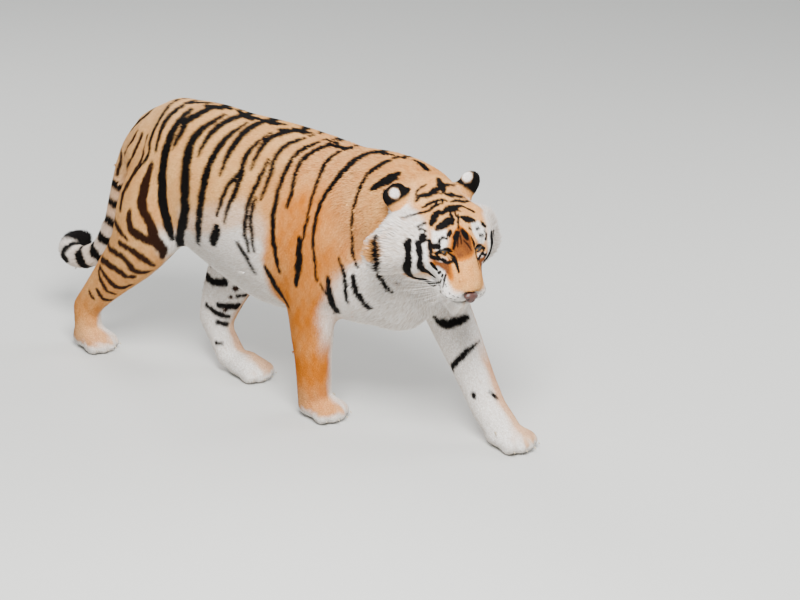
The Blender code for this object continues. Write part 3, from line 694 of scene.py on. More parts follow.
def lid_share(ahead, side):
    """How far a direction from the eye is towards its lids: 1 on their edge."""
    turn = side * LID_SLANT
    across = ahead[:, 1] * math.cos(turn) + ahead[:, 2] * math.sin(turn)
    over = -ahead[:, 1] * math.sin(turn) + ahead[:, 2] * math.cos(turn) - LID_RAISE
    reach = np.abs(across * side - LID_SHIFT) / LID_ACROSS
    height = np.maximum(1 - reach ** 2, 0.001)
    above = np.where(over > 0, over / (height * LID_UP), -over / (height * LID_DOWN))
    return np.maximum(above, reach)


# Where the skin is divided once more: a middle and a reach each way, in the head's frame.
FINE_PLACES = (
    ((0.05, 0.0, -0.05), (0.13, 0.115, 0.12)),
    ((EYE_BACK, EYE_SPREAD, 0.0), (0.032, 0.030, 0.026)),
    ((EYE_BACK, -EYE_SPREAD, 0.0), (0.032, 0.030, 0.026)),
    ((0.12, 0.0, -0.10), (0.045, 0.045, 0.035)),
)
# How much longer the hair is on the ruff, on the chin and on the body's underside.
RUFF_HAIR = 30 * MM
CHIN_HAIR = 20 * MM
UNDER_HAIR = 16 * MM


class Skin:
    """The finished skin: its points, their normals, their homes and what grows on them."""

    def __init__(self):
        self.item = raw_skin()
        for middle, size in FINE_PLACES:
            refine(self.item, middle, size)
        mesh = self.item.data
        points = points_of(mesh)
        normals = normals_of(mesh)
        edges = read(mesh.edges, "vertices", 2)
        self.home = homes_of(points)
        flow = self.plan_coat(points, normals, edges)
        points = shaped_ears(points - normals * self.depth[:, None], self.home)
        set_points(mesh, sculpt_face(sculpt_body(points)))
        self.points = points_of(mesh)
        self.normals = unit(evened(normals_of(mesh), edges, 2))
        self.flow = unit(flow - self.normals * (flow * self.normals).sum(1, keepdims=True))
        self.tree = tree_of(mesh)

    def plan_coat(self, points, normals, edges):
        """Lay out the coat's length, depth and ground colours, and return the way it lies."""
        home = self.home
        length, depth, flow, warmth, pale = (
            np.array(column, float)[home] for column in zip(*(COAT[name] for name in FLESH)))
        trunk = among(home, *TRUNK).astype(float)
        on_head = among(home, *HEAD_PARTS)
        head = local(HEAD, points)
        forward, left, up = head.T
        throat = 0.8 * ramp(-up, 0.11, 0.15) * ramp(-forward, 0, 0.05)
        ruff = np.maximum(ramp(np.abs(left), 0.10, 0.17) * ramp(-forward, 0.02, 0.08), throat) * on_head
        chin = ramp(-up, 0.128, 0.145) * ramp(forward, 0.02, 0.06) * on_head
        under = ramp(-normals[:, 2], 0.1, 0.8) * trunk
        length = length * MM + RUFF_HAIR * ruff + CHIN_HAIR * chin + UNDER_HAIR * under
        depth = (depth + 6 * ruff) * MM
        away = unit(head - np.array(NOSE_TIP)) + ruff[:, None] * np.array((-0.3, 0, -0.6))
        away = away * (1 - chin[:, None]) + chin[:, None] * np.array((0.35, 0, -1.0))
        flow = np.where(on_head[:, None], spread(HEAD, away), spread(BODY, flow))
        self.ruff = ruff
        self.length = evened(length, edges, 12)
        self.depth = np.where(among(home, *EARS), depth, evened(depth, edges, 24))
        self.warmth = evened(warmth, edges, 140)
        self.pale = evened(pale, edges, 60)
        self.trunk = evened(trunk, edges, 50)
        return unit(evened(unit(flow), edges, 30))


# ---------------------------------------------------------------- markings

def smooth_run(points, step, scale):
    """A smooth line through points, at even small steps; its last column is the width."""
    rows = np.array(points, float)
    padded = np.vstack((2 * rows[0] - rows[1], rows, 2 * rows[-1] - rows[-2]))
    run = []
    for index in range(len(rows) - 1):
        p, q, r, s = padded[index:index + 4]
        length = np.linalg.norm((r - q)[:2]) * scale
        for share in np.arange(0, 1, max(step / max(length, step), 0.01)):
            run.append(0.5 * (2 * q + (r - p) * share + (2 * p - 5 * q + 4 * r - s) * share ** 2
                              + (3 * q - p - 3 * r + s) * share ** 3))
    run.append(rows[-1])
    return np.array(run)


def on_skin(skin, starts, ways):
    """Where rays meet the skin, or the nearest place on it where they miss."""
    spots = []
    for start, way in zip(starts, ways):
        hit = skin.tree.ray_cast(start, way)[0]
        spots.append(hit or skin.tree.find_nearest(start + way * 0.5)[0])
    return np.array([tuple(spot) for spot in spots])


def body_line(skin, points, view):
    """A mark on the body, seen from its right, left or top, or from between the legs."""
    run = smooth_run(np.array(points) * MM, 5 * MM, 1.0)
    start = {"right": -0.5, "left": 0.5, "inner_left": 0.0, "inner_right": 0.0}.get(view)
    way = {"right": 1, "left": -1, "inner_left": 1, "inner_right": -1}.get(view)
    starts, ways = [], []
    for first, second, _ in run:
        if view == "top":
            starts.append(BODY @ Vector((first, second, 1.4)))
            ways.append(Vector((0, 0, -1)))
        else:
            starts.append(BODY @ Vector((first, start, second)))
            ways.append(Vector((way, 0, 0)))
    return on_skin(skin, starts, ways), run[:, 2] / 2 + 3.5 * MM


def head_line(skin, points):
    """A mark on the head, through places given in degrees."""
    rows = [(over, out, width * MM) for over, out, width in points]
    run = smooth_run(rows, 2 * MM, 0.13 * math.pi / 180)
    centre = HEAD @ Vector(GLOBE)
    starts, ways = [], []
    for over, out, _ in run:
        pitch, side = math.radians(over), math.radians(out)
        way = Vector((math.cos(side) * math.cos(pitch), math.sin(side),
                      math.cos(side) * math.sin(pitch)))
        starts.append(centre)
        ways.append(HEAD.to_3x3() @ way)
    return on_skin(skin, starts, ways), run[:, 2] / 2


def round_line(skin, points):
    """A mark through places near the skin."""
    spots, halves = [], []
    for first, second in zip(points, points[1:]):
        for share in np.arange(0, 1, 0.12):
            forward, left, up, width = ((a + (b - a) * share) * MM for a, b in zip(first, second))
            spots.append(tuple(skin.tree.find_nearest(BODY @ Vector((forward, left, up)))[0]))
            halves.append(width / 2)
    return np.array(spots), np.array(halves)


def swayed(points, number):
    """A right flank's stripe, changed a little for the left flank."""
    return [(forward + 12 + 14 * math.sin(0.009 * up + 1.7 * number), up, width)
            for forward, up, width in points]


def mirrored(points):
    """The same mark on the head's other side."""
    return [(over, -out, *rest) for over, out, *rest in points]


def stepped(points):
    """A right thigh's stripe, moved to where the left leg has stepped forward."""
    return [(forward + float(np.interp(up, *LEFT_STEP)), up, width) for forward, up, width in points]


def body_lines(skin, stripes, step=False):
    """Stripes on the right flank and their fellows on the left."""
    lines = []
    for number, points in enumerate(stripes):
        lines.append(body_line(skin, points, "right"))
        fellow = swayed(points, number)
        lines.append(body_line(skin, stepped(fellow) if step else fellow, "left"))
    return lines


def all_lines(skin):
    """Every mark on the skin, by its colour."""
    black = body_lines(skin, FLANK_STRIPES)
    black += [body_line(skin, points, "top") for points in SPINE_MARKS]
    for side, marks in INNER_MARKS.items():
        black += [body_line(skin, points, "inner_" + side) for points in marks]
    black += [round_line(skin, points) for points in ROUND_MARKS]
    black += [head_line(skin, points) for points in FACE_MARKS]
    for over, out in PAD_SPOTS:
        for side in SIDES.values():
            black.append(head_line(skin, ((over, side * out, 5), (over + 0.3, side * (out + 1), 4))))
    for points in LID_MARKS:
        black.append(head_line(skin, mirrored(points)))
        black.append(head_line(skin, points))
    for points in CHEEK_MARKS:
        black.append(head_line(skin, mirrored(points)))
        black.append(head_line(skin, [(over + CHEEK_LIFT, *rest) for over, *rest in points]))
    brown = body_lines(skin, THIGH_STRIPES, True) + [head_line(skin, points) for points in RUST_MARKS]
    return {"black": black, "brown": brown}


def globe(head):
    """Places on the head as degrees over the brow and out to the left."""
    away = head - np.array(GLOBE)
    over = np.degrees(np.arctan2(away[:, 2], away[:, 0]))
    out = np.degrees(np.arcsin(np.clip(away[:, 1] / np.linalg.norm(away, axis=1), -1, 1)))
    return over, out


def within(over, out, corners):
    """How many degrees inside an outline each place lies, below 0 outside it."""
    ends = np.array(corners, float)
    best = np.full(len(over), 99.0)
    crossed = np.zeros(len(over), bool)
    for (x, y), (u, v) in zip(ends, np.roll(ends, -1, axis=0)):
        share = ((over - x) * (u - x) + (out - y) * (v - y)) / ((u - x) ** 2 + (v - y) ** 2)
        share = np.clip(share, 0, 1)
        best = np.minimum(best, np.hypot(over - x - share * (u - x), out - y - share * (v - y)))
        if v != y:
            crossed ^= ((y > out) != (v > out)) & (over < (u - x) * (out - y) / (v - y) + x)
    return np.where(crossed, best, -best)


def deepest(over, out, single, both):
    """How deep places lie inside the nearest of some outlines."""
    found = [within(over, out, corners) for corners in single]
    found += [within(over, out, corners) for corners in both]
    found += [within(over, out, mirrored(corners)) for corners in both]
    return np.max(found, axis=0)


def inside(points, lines, reach):
    """How deep each point lies inside the nearest line: above 0 within it."""
    best = np.full(len(points), -reach)
    for spots, halves in lines:
        pad = reach + halves.max()
        near = np.all((points > spots.min(0) - pad) & (points < spots.max(0) + pad), axis=1)
        chosen = np.nonzero(near)[0]
        if not len(chosen):
            continue
        for spot, half in zip(spots, halves):
            deep = half - np.linalg.norm(points[chosen] - spot, axis=1)
            best[chosen] = np.maximum(best[chosen], deep)
    return best


def ripple(points, size, seed):
    """A soft random field of about a given size, from -1 to 1."""
    dice = np.random.default_rng(seed)
    total = np.zeros(len(points))
    for _ in range(7):
        way = unit(dice.normal(size=3)) * math.tau / size * dice.uniform(0.6, 1.5)
        total += np.sin(points @ way + dice.uniform(0, math.tau))
    return np.clip(total / 3.2, -1, 1)


def tail_share(points):
    """How far along the tail each point is, in metres from its root."""
    line = np.array(TAIL_LINE)
    body = local(BODY, points)
    legs = np.linalg.norm(np.diff(line, axis=0), axis=1)
    sums = np.concatenate(((0.0,), np.cumsum(legs)))
    best = np.full(len(points), 9.0)
    along = np.zeros(len(points))
    for index, leg in enumerate(legs):
        way = (line[index + 1] - line[index]) / leg
        share = np.clip((body - line[index]) @ way, 0.0, leg)
        gap = np.linalg.norm(body - line[index] - share[:, None] * way, axis=1)
        closer = gap < best
        best = np.where(closer, gap, best)
        along = np.where(closer, sums[index] + share, along)
    return along


def ear_axes(side):
    """The frame of an ear, as the solids have it: to its tip, across it, and out of its back."""
    tip = Vector({"left": (-0.30, 0.52, 0.80), "right": (-0.66, -0.42, 0.60)}[side]).normalized()
    back = Vector((0.70, SIDES[side] * 0.10, 0.50))
    back = (back - tip * back.dot(tip)).normalized()
    place = Matrix((tip, tip.cross(back), back)).transposed().to_4x4()
    return HEAD @ Matrix.Translation((-0.176, SIDES[side] * 0.110, 0.060)) @ place


# How an ear's shape is changed, along it and across it, and where its white patch is in the head's
# frame.
EAR_SHAPES = {"left": (0.96, 1.05), "right": (0.84, 1.15)}
EAR_PATCHES = {"left": (-0.202, 0.108, 0.106), "right": (-0.200, -0.148, 0.068)}
EAR_SLIDE = (-0.006, -0.018, -0.014)    # how far the right ear slides down the head


def shaped_ears(points, home):
    """The right ear lies flatter to the head than the left, so it is shorter and broader."""
    for side, (long, broad) in EAR_SHAPES.items():
        frame_here = ear_axes(side)
        place = local(frame_here, points)
        share = among(home, "ear_" + side) * ramp(place[:, 0], 0.0, 0.02)
        place = place * (1 + share[:, None] * (np.array((long, broad, 1.0)) - 1))
        points = placed(frame_here, place)
    away = np.linalg.norm(local(HEAD, points) - np.array((-0.20, -0.130, 0.08)), axis=1)
    share = ramp(-away, -0.11, -0.05)
    return points + share[:, None] * spread(HEAD, np.array(EAR_SLIDE))


class Places:
    """Points of the skin or the coat, and where they lie on the animal."""

    def __init__(self, points, normals, home, jitter):
        self.points = points
        self.normals = normals
        self.home = home
        self.jitter = jitter
        self.body = local(BODY, points)
        self.head = local(HEAD, points)
        self.facing = local(BODY.to_3x3().to_4x4(), normals)

    def on(self, *names):
        """Which points lie on some of the solids."""
        return among(self.home, *names)

    def ripple(self, size, seed):
        """A soft random field over the points, from -1 to 1."""
        return ripple(self.points, size, seed)


def stripes_at(spots, lines):
    """How far the hair is striped, and how far a stripe is brown instead of black."""
    at_face = spots.on(*HEAD_PARTS) * ramp(spots.head[:, 0], -0.19, -0.12)
    fringe = (0.4 + 1.3 * (1 - at_face)) * MM * spots.jitter
    fringe += (0.4 + 2.0 * (1 - at_face)) * MM * spots.ripple(0.03, 3)
    soft = (0.8 + 1.4 * (1 - at_face)) * MM
    black = inside(spots.points, lines["black"], 12 * MM) + fringe
    brown = inside(spots.points, lines["brown"], 12 * MM) + fringe
    return ramp(np.maximum(black, brown), -soft, soft), ramp(brown - black, 0.0, 3 * MM)


def white_of_body(spots, pale, trunk):
    """The belly, the breast, the insides of the legs and the toes are white."""
    forward, left, up = spots.body.T
    waver = 0.015 * np.sin(11 * forward) + 0.012 * spots.ripple(0.10, 5) + 0.006 * spots.jitter
    edge = np.interp(forward, *BELLY_EDGE) + waver
    belly = np.maximum(ramp(edge - up, -0.035, 0.03), 0.45 * ramp(edge - up, -0.11, -0.03))
    belly = belly * (forward > -0.52)
    edge = np.interp(up, *BREAST_EDGE) + waver
    breast = ramp(forward - edge, -0.04, 0.04) * (1 - ramp(spots.facing[:, 1], 0.35, 0.75))
    between = ramp(-np.abs(left), -0.13, -0.09) * ramp(-up, -0.60, -0.50)
    pale = pale + ramp(trunk, 0.2, 0.6) * (np.maximum.reduce((pale, belly, breast, between)) - pale)
    breast = breast * ramp(up, 0.20, 0.36) * spots.on("shoulder", "forearm")
    fold = ramp(forward, -0.42, -0.37) * ramp(-up, -0.58, -0.50) * spots.on("thigh_right")
    pale = np.maximum.reduce((pale, breast, fold))
    for side, sign in SIDES.items():
        inner = ramp(-sign * spots.facing[:, 1] + 0.08 * spots.ripple(0.06, 7), -0.25, 0.55)
        inner = inner * ramp(-up, -0.56, -0.48) * spots.on(*("%s_%s" % (leg, side) for leg in LEGS))
        pale = np.maximum(pale, inner)
    toes = ramp(0.034 + 0.006 * spots.ripple(0.03, 8) - up, -0.015, 0.012)
    return np.maximum(pale, toes * spots.on("paw_front", "paw_hind"))


def colours_of_face(spots, pale, warmth):
    """The white parts of the head with its ruff, and the rust between and under the eyes."""
    over, out = globe(spots.head)
    over = over + 1.2 * spots.jitter
    white = ramp(deepest(over, out, WHITE_AREAS, WHITE_BOTH), -3.0, 3.0)
    _, left, up = spots.head.T
    side = np.abs(left)
    edge = np.interp(up, *RUFF_EDGE)
    edge += 0.05 * ramp(left, 0.0, 0.05) * ramp(-up, 0.0, 0.05)
    edge = edge + 0.006 * spots.ripple(0.05, 6) + 0.003 * spots.jitter
    near = ramp(edge - side, -0.010, 0.010)
    ruff = near * ramp(side, 0.095, 0.125)
    cheek = near * ramp(np.abs(out), 60, 70) * ramp(-over, -66, -52) * ramp(over, -190, -120)
    rust = ramp(deepest(over, out, RUST_AREAS, RUST_BOTH), -5.0, 4.0)
    on_head = spots.on(*HEAD_PARTS)
    pale = np.where(on_head, np.maximum.reduce((pale, white, ruff * 0.95, cheek * 0.9)), pale)
    return pale, np.where(on_head, warmth + rust * (2 - warmth), warmth)


def tail_rings(spots):
    """The rings of the tail and its black tip."""
    along = tail_share(spots.points)
    ring = np.sin(math.tau * (along + 0.006 * spots.ripple(0.05, 9)) / TAIL_RING)
    ring = ramp(ring + 0.10 * spots.jitter, -0.15, 0.25) * ramp(along, 0.04, 0.10)
    return np.maximum(ring, ramp(along, 0.70, 0.73)) * spots.on(*TAIL)


def ear_marks(spots, stripe, pale):
    """Black backs to the ears, each with a white patch, and pale fur within."""
    for side in SIDES:
        at_ear = spots.on("ear_" + side)
        place = local(ear_axes(side), spots.points)
        rear = ramp(local(ear_axes(side).to_3x3().to_4x4(), spots.normals)[:, 2], -0.80, -0.40)
        patch = np.linalg.norm(spots.head - np.array(EAR_PATCHES[side]), axis=1)
        patch = ramp(-patch, -0.022, -0.015)
        base = ramp(place[:, 0], 0.002, 0.012)
        stripe = np.where(at_ear, rear * (1 - patch) * base, stripe)
        pale = np.where(at_ear, np.maximum(1 - rear, patch), pale)
    return stripe, pale


def marks_at(spots, warmth, pale, trunk, lines):
    """What the coat's colour is made of at each point."""
    stripe, tint = stripes_at(spots, lines)
    pale = white_of_body(spots, pale, trunk)
    pale, warmth = colours_of_face(spots, pale, warmth)
    stripe = np.maximum(stripe, tail_rings(spots))
    stripe, pale = ear_marks(spots, stripe, pale)
    # The dark line of the mouth: the black edge of the lips, with painted shade in the crease between
    # them.
    line = np.interp(spots.head[:, 0], *MOUTH_LINE)
    lip_edge_and_shade = np.exp(-((spots.head[:, 2] - line) / 0.0055) ** 2) * ramp(spots.head[:, 0], 0.00, 0.03)
    stripe = np.maximum(stripe, 0.9 * lip_edge_and_shade * spots.on(*HEAD_PARTS))
    warmth = warmth + 0.09 * spots.ripple(0.14, 21) + 0.09 * spots.ripple(0.04, 23)
    return {"stripe": stripe, "brown": tint, "pale": np.clip(pale, 0, 1),
            "warmth": np.clip(warmth, 0, 2)}


# ---------------------------------------------------------------- coat

# Each piece of the coat: the parts it grows on, the space between tufts and their width, in
# millimetres, how steeply they stand, in degrees, and whether they are long enough to bend.
COAT_PIECES = {
    "coat_barrel_right": (("barrel",), 3.3, 2.4, 11, False),
    "coat_barrel_left": (("barrel",), 3.4, 2.5, 11, False),
    "coat_chest": (("chest",), 4.6, 3.2, 15, True),
    "coat_neck": (("neck",), 3.8, 2.9, 15, True),
    "coat_rump": (("rump", "tail_base"), 3.3, 2.4, 11, False),
    "coat_tail": (("tail_middle", "tail_tip"), 3.5, 2.6, 18, True),
    "coat_shoulder_right": (("shoulder_right", "forearm_right"), 3.3, 2.2, 11, False),
    "coat_shoulder_left": (("shoulder_left", "forearm_left"), 3.4, 2.2, 11, False),
    "coat_thigh_right": (("thigh_right", "shank_right", "hock_right"), 3.3, 2.2, 11, False),
    "coat_thigh_left": (("thigh_left", "shank_left", "hock_left"), 3.5, 2.3, 11, False),
    "coat_paws": (("paw_front_left", "paw_front_right", "paw_hind_left", "paw_hind_right"),
                  3.1, 1.8, 12, False),
    "coat_face": (("head", "lower_jaw"), 2.1, 1.3, 10, False),
    "coat_ruff": (("head", "lower_jaw"), 3.6, 2.2, 15, True),
    "coat_ears": (("ear_left", "ear_right"), 2.0, 1.4, 18, False),
}


def region(skin, name, parts):
    """The part of the skin that a piece of coat grows on, as a mesh of its own with an unwrap."""
    mesh = skin.item.data
    first = read(mesh.loops, "vertex_index", 1)[read(mesh.polygons, "loop_start", 1)]
    keep = among(skin.home[first], *parts)
    left = skin.points[first][:, 0] > (BODY @ Vector((0, 0, 0))).x
    shaggy = skin.ruff[first] > 0.15
    shared = {"coat_barrel_left": left, "coat_barrel_right": ~left,
              "coat_ruff": shaggy, "coat_face": ~shaggy}
    if name in shared:
        keep &= shared[name]
    faces = [tuple(mesh.polygons[index].vertices) for index in np.nonzero(keep)[0]]
    used = np.unique([index for face in faces for index in face])
    renumber = {int(old): new for new, old in enumerate(used)}
    made = bpy.data.meshes.new(name + "_bed")
    made.from_pydata([tuple(point) for point in skin.points[used]], [],
                     [[renumber[index] for index in face] for face in faces])
    item = add_object(name + "_bed", made)
    edit_all(item, bpy.ops.uv.smart_project, angle_limit=math.radians(66), island_margin=0.004)
    return item, used


def sown(skin, item, used, spacing):
    """Roots scattered evenly over a bed: where, on which skin points, and their unwrap places."""
    mesh = item.data
    mesh.calc_loop_triangles()
    corners = read(mesh.loop_triangles, "loops", 3)
    indices = read(mesh.loops, "vertex_index", 1)
    places = read(mesh.uv_layers.active.data, "uv", 2, np.float32)
    spots = used[indices[corners]]
    sides = skin.points[spots]
    areas = np.linalg.norm(np.cross(sides[:, 1] - sides[:, 0], sides[:, 2] - sides[:, 0]), axis=1) / 2
    sums = np.cumsum(areas)
    total = int(sums[-1] / spacing ** 2)
    picks = (np.arange(total) + DICE.uniform(size=total)) / total * sums[-1]
    chosen = np.minimum(np.searchsorted(sums, picks), len(corners) - 1)
    first, second = np.sqrt(DICE.uniform(size=total)), DICE.uniform(size=total)
    shares = np.stack((1 - first, first * (1 - second), first * second), 1)
    unwrap = (places[corners[chosen]] * shares[:, :, None]).sum(1)
    return spots[chosen], shares, unwrap


def blended(values, spots, shares):
    """Values of the skin at roots between its points."""
    rows = values[spots]
    return (rows * (shares if values.ndim == 1 else shares[:, :, None])).sum(1)


# The forms of a tuft: its faces, where each point lies on its patch of the unwrap, and how far up
# each point is. A short one is a spike on three points. A long one has three more half way, and
# bends there.
SHORT_TUFT = {
    "faces": ((0, 3, 2), (2, 3, 1), (1, 3, 0), (0, 2, 1)),
    "patch": ((-1, -1), (1, -1), (0, -0.6), (0, 1)),
    "up": (0, 0, 0, 1),
    "read_at": (0.10, 0.80),        # where along the tuft its colours are read
}
LONG_TUFT = {
    "faces": ((0, 3, 2), (2, 3, 5), (2, 5, 1), (1, 5, 4), (1, 4, 0), (0, 4, 3),
              (3, 6, 5), (5, 6, 4), (4, 6, 3), (0, 2, 1)),
    "patch": ((-1, -1), (1, -1), (0, -0.8), (-0.8, 0), (0.8, 0), (0, 0.1), (0, 1)),
    "up": (0, 0, 0, 1, 1, 1, 2),
    "read_at": (0.05, 0.45, 0.90),
}
PATCH = 0.0015                      # half the width of a tuft's patch on the unwrap
ROOT_DEPTH = 0.6 * MM               # how deep a tuft's root lies in the skin
SWAY = math.radians(9)              # how far tufts turn from the lie of the coat


def grow(skin, lines, name):
    """One piece of the coat."""
    parts, spacing, width, slant, bent = COAT_PIECES[name]
    form = LONG_TUFT if bent else SHORT_TUFT
    bed, used = region(skin, name, parts)
    spots, shares, unwrap = sown(skin, bed, used, spacing * MM)
    bpy.data.objects.remove(bed, do_unlink=True)
    root = blended(skin.points, spots, shares)
    normal = unit(blended(skin.normals, spots, shares))
    flow = blended(skin.flow, spots, shares)
    length = blended(skin.length, spots, shares)
    ruff = blended(skin.ruff, spots, shares)
    count = len(root)
    lot = DICE.uniform(size=count)
    sway = SWAY * (DICE.normal(size=count) + ripple(root, 0.05, 31))
    flow = unit(flow - normal * (flow * normal).sum(1, keepdims=True))
    flow = flow * np.cos(sway)[:, None] + np.cross(normal, flow) * np.sin(sway)[:, None]
    length = length * DICE.uniform(0.75, 1.15, size=count)
    rise = np.radians(slant + 8 * ruff) * DICE.uniform(0.6, 1.4, size=count)
    width = width * MM * DICE.uniform(0.8, 1.2, size=count) * (1 + 0.5 * ruff)
    jitter = DICE.normal(size=count)
    home = skin.home[spots[:, 0]]
    grounds = [blended(values, spots, shares) for values in (skin.warmth, skin.pale, skin.trunk)]
    marks = [marks_at(Places(root + flow * (length * share)[:, None], normal, home, jitter),
                      *grounds, lines) for share in form["read_at"]]
    points = tuft_points(form, root, normal, flow, length, rise, width)
    item = tuft_mesh(name, form, points, unwrap, tuft_shading(form, normal, flow))
    for key in marks[0]:
        values = np.stack([at_level[key] for at_level in marks], axis=1)
        put_attribute(item.data, key, values[:, form["up"]].ravel())
    put_attribute(item.data, "lot", np.repeat(lot, len(form["up"])))
    put_attribute(item.data, "tipward", np.tile(np.array(form["up"]) / form["up"][-1], count))
    return item


def tuft_points(form, root, normal, flow, length, rise, width):
    """The points of every tuft: its root, its bend if it has one, and its tip."""
    base = root - normal * ROOT_DEPTH
    half = np.cross(normal, flow) * (width / 2)[:, None]
    thick = normal * (width * 0.45)[:, None]
    ahead = flow * (length * np.cos(rise))[:, None]
    over = normal * (length * np.sin(rise))[:, None]
    rings = [base - half, base + half, base + thick]
    if form is LONG_TUFT:
        mid = base + ahead * 0.5 + over * 0.62
        rings += [mid - half * 0.8, mid + half * 0.8, mid + thick * 0.8]
    return np.stack((*rings, base + ahead + over * 0.85), axis=1)


def tuft_shading(form, normal, flow):
    """Hair shades by the form it lies on more than by its own little sides."""
    across = np.cross(normal, flow)
    own = np.zeros((len(normal), len(form["up"]), 3))
    own[:, 0::3] = -across[:, None]
    own[:, 1::3] = across[:, None]
    own[:, 2::3] = normal[:, None] * 0.5
    own[:, -1] = 0
    return unit(normal[:, None, :] + 0.35 * own)


def tuft_mesh(name, form, points, unwrap, shading):
    """All the tufts of a piece as one mesh, each with its own patch of the unwrap."""
    count, rows, _ = points.shape
    corners = (np.arange(count)[:, None, None] * rows + np.array(form["faces"])).reshape(-1)
    faces = len(corners) // 3
    mesh = bpy.data.meshes.new(name)
    mesh.vertices.add(count * rows)
    mesh.vertices.foreach_set("co", points.astype(np.float32).ravel())
    mesh.loops.add(len(corners))
    mesh.loops.foreach_set("vertex_index", corners.astype(np.int32))
    mesh.polygons.add(faces)
    mesh.polygons.foreach_set("loop_start", np.arange(0, len(corners), 3, dtype=np.int32))
    mesh.polygons.foreach_set("use_smooth", np.ones(faces, bool))
    mesh.update(calc_edges=True)
    places = np.clip(unwrap, 2 * PATCH, 1 - 2 * PATCH)[:, None, :] + np.array(form["patch"]) * PATCH
    layer = mesh.uv_layers.new(name="OFBake")
    layer.data.foreach_set("uv", places.reshape(-1, 2)[corners].astype(np.float32).ravel())
    layer = mesh.attributes.new("custom_normal", "FLOAT_VECTOR", "POINT")
    layer.data.foreach_set("vector", shading.astype(np.float32).ravel())
    return add_object(name, mesh)


# ---------------------------------------------------------------- materials

def colour(code):
    """A colour in sRGB hex, as linear light."""
    values = [int(code[index:index + 2], 16) / 255 for index in (1, 3, 5)]
    return (*[value / 12.92 if value <= 0.04045 else ((value + 0.055) / 1.055) ** 2.4
              for value in values], 1.0)


def node(tree, kind, links=(), values=None, **settings):
    """Add a node with its settings, its values and its links."""
    made = tree.nodes.new(kind)
    for key, value in settings.items():
        setattr(made, key, value)
    for socket, value in (values or {}).items():
        made.inputs[socket].default_value = value
    for socket, source in links:
        tree.links.new(source, made.inputs[socket])
    return made


def material(name, **values):
    """A new material with values on its shader's own sockets."""
    made = bpy.data.materials.new(name)
    made.use_nodes = True
    shader = made.node_tree.nodes["Principled BSDF"]
    for socket, value in values.items():
        shader.inputs[socket.replace("_", " ")].default_value = value
    return made, made.node_tree, shader


def mixed(tree, share, first, second, blend="MIX"):
    """Mix two colours, each a colour code or another node's output."""
    made = node(tree, "ShaderNodeMix", data_type="RGBA", blend_type=blend)
    for socket, source in ((0, share), (6, first), (7, second)):
        if isinstance(source, str):
            made.inputs[socket].default_value = colour(source)
        elif isinstance(source, float):
            made.inputs[socket].default_value = source
        else:
            tree.links.new(source, made.inputs[socket])
    return made.outputs[2]


def fur_colour(tree):
    """The coat's colours: tan to rust ground, white beneath, brown-black stripes."""
    value = {key: node(tree, "ShaderNodeAttribute", attribute_name=key).outputs["Fac"]
             for key in ("stripe", "brown", "pale", "warmth")}
    deep = node(tree, "ShaderNodeMath", [(0, value["warmth"])], {1: 1.0}, operation="SUBTRACT")
    ground = mixed(tree, value["warmth"], "#F8C582", "#CC7412")
    ground = mixed(tree, deep.outputs[0], ground, "#72401C")
    ground = mixed(tree, value["pale"], ground, "#FBF9F6")
    dark = mixed(tree, value["brown"], "#070403", "#2C1405")
    return mixed(tree, value["stripe"], ground, dark)


def coat_material():
    """Tiger hair, in tufts: fine, half-dull keratin, paler to its tips and darker at its roots."""
    made, tree, shader = material("tiger_hair", Roughness=0.72)
    shader.inputs["Specular IOR Level"].default_value = 0.10
    lot = node(tree, "ShaderNodeAttribute", attribute_name="lot").outputs["Fac"]
    tipward = node(tree, "ShaderNodeAttribute", attribute_name="tipward").outputs["Fac"]
    fur = fur_colour(tree)
    fur = mixed(tree, 1.0, fur, mixed(tree, lot, "#DAD0C6", "#FFFFFF"), "MULTIPLY")
    fur = mixed(tree, 1.0, fur, mixed(tree, tipward, "#D6CCC2", "#FFFFFF"), "MULTIPLY")
    tree.links.new(fur, shader.inputs["Base Color"])
    return made


def skin_material():
    """Hide with short fur lying flat on it: the hair's grain is fine bump along the body."""
    made, tree, shader = material("tiger_hide", Roughness=0.80)
    shader.inputs["Specular IOR Level"].default_value = 0.10
    fur = fur_colour(tree)
    place = node(tree, "ShaderNodeTexCoord").outputs["Object"]
    # Strands 2 mm across and a few times as long.
    stretched = node(tree, "ShaderNodeMapping", [("Vector", place)], {"Scale": (1.0, 0.35, 0.6)})
    strand = node(tree, "ShaderNodeTexNoise", [("Vector", stretched.outputs[0])],
                  {"Scale": 420.0, "Detail": 3.0})
    shade = node(tree, "ShaderNodeMapRange", [("Value", strand.outputs["Fac"])],
                 {"From Min": 0.3, "From Max": 0.7, "To Min": 0.0, "To Max": 1.0})
    fur = mixed(tree, 1.0, fur, mixed(tree, shade.outputs[0], "#B8B0A8", "#FFFFFF"), "MULTIPLY")
    finished(tree, shader, fur, strand.outputs["Fac"], 0.5, 1.0)
    return made


def nose_material():
    """Nose leather: bare pink-brown skin in pebbles about 0.8 mm across, slightly moist, with painted
    shade darkening its nostrils and the cleft between them.
    """
    made, tree, shader = material("nose_leather", Roughness=0.42)
    place = node(tree, "ShaderNodeTexCoord").outputs["Object"]
    pebble = node(tree, "ShaderNodeTexVoronoi", [("Vector", place)], {"Scale": 900.0})
    blotch = node(tree, "ShaderNodeTexNoise", [("Vector", place)], {"Scale": 90.0, "Detail": 4.0})
    hollow_shade = node(tree, "ShaderNodeAttribute", attribute_name="hollow_shade").outputs["Fac"]
    flesh = mixed(tree, blotch.outputs["Fac"], "#5C3830", "#2E1C19")
    # Painted shade: the nostrils and the cleft below the nose are darkened, as if in shadow.
    flesh = mixed(tree, hollow_shade, flesh, "#1A100E")
    finished(tree, shader, flesh, pebble.outputs["Distance"], 0.4, 0.4)
    return made


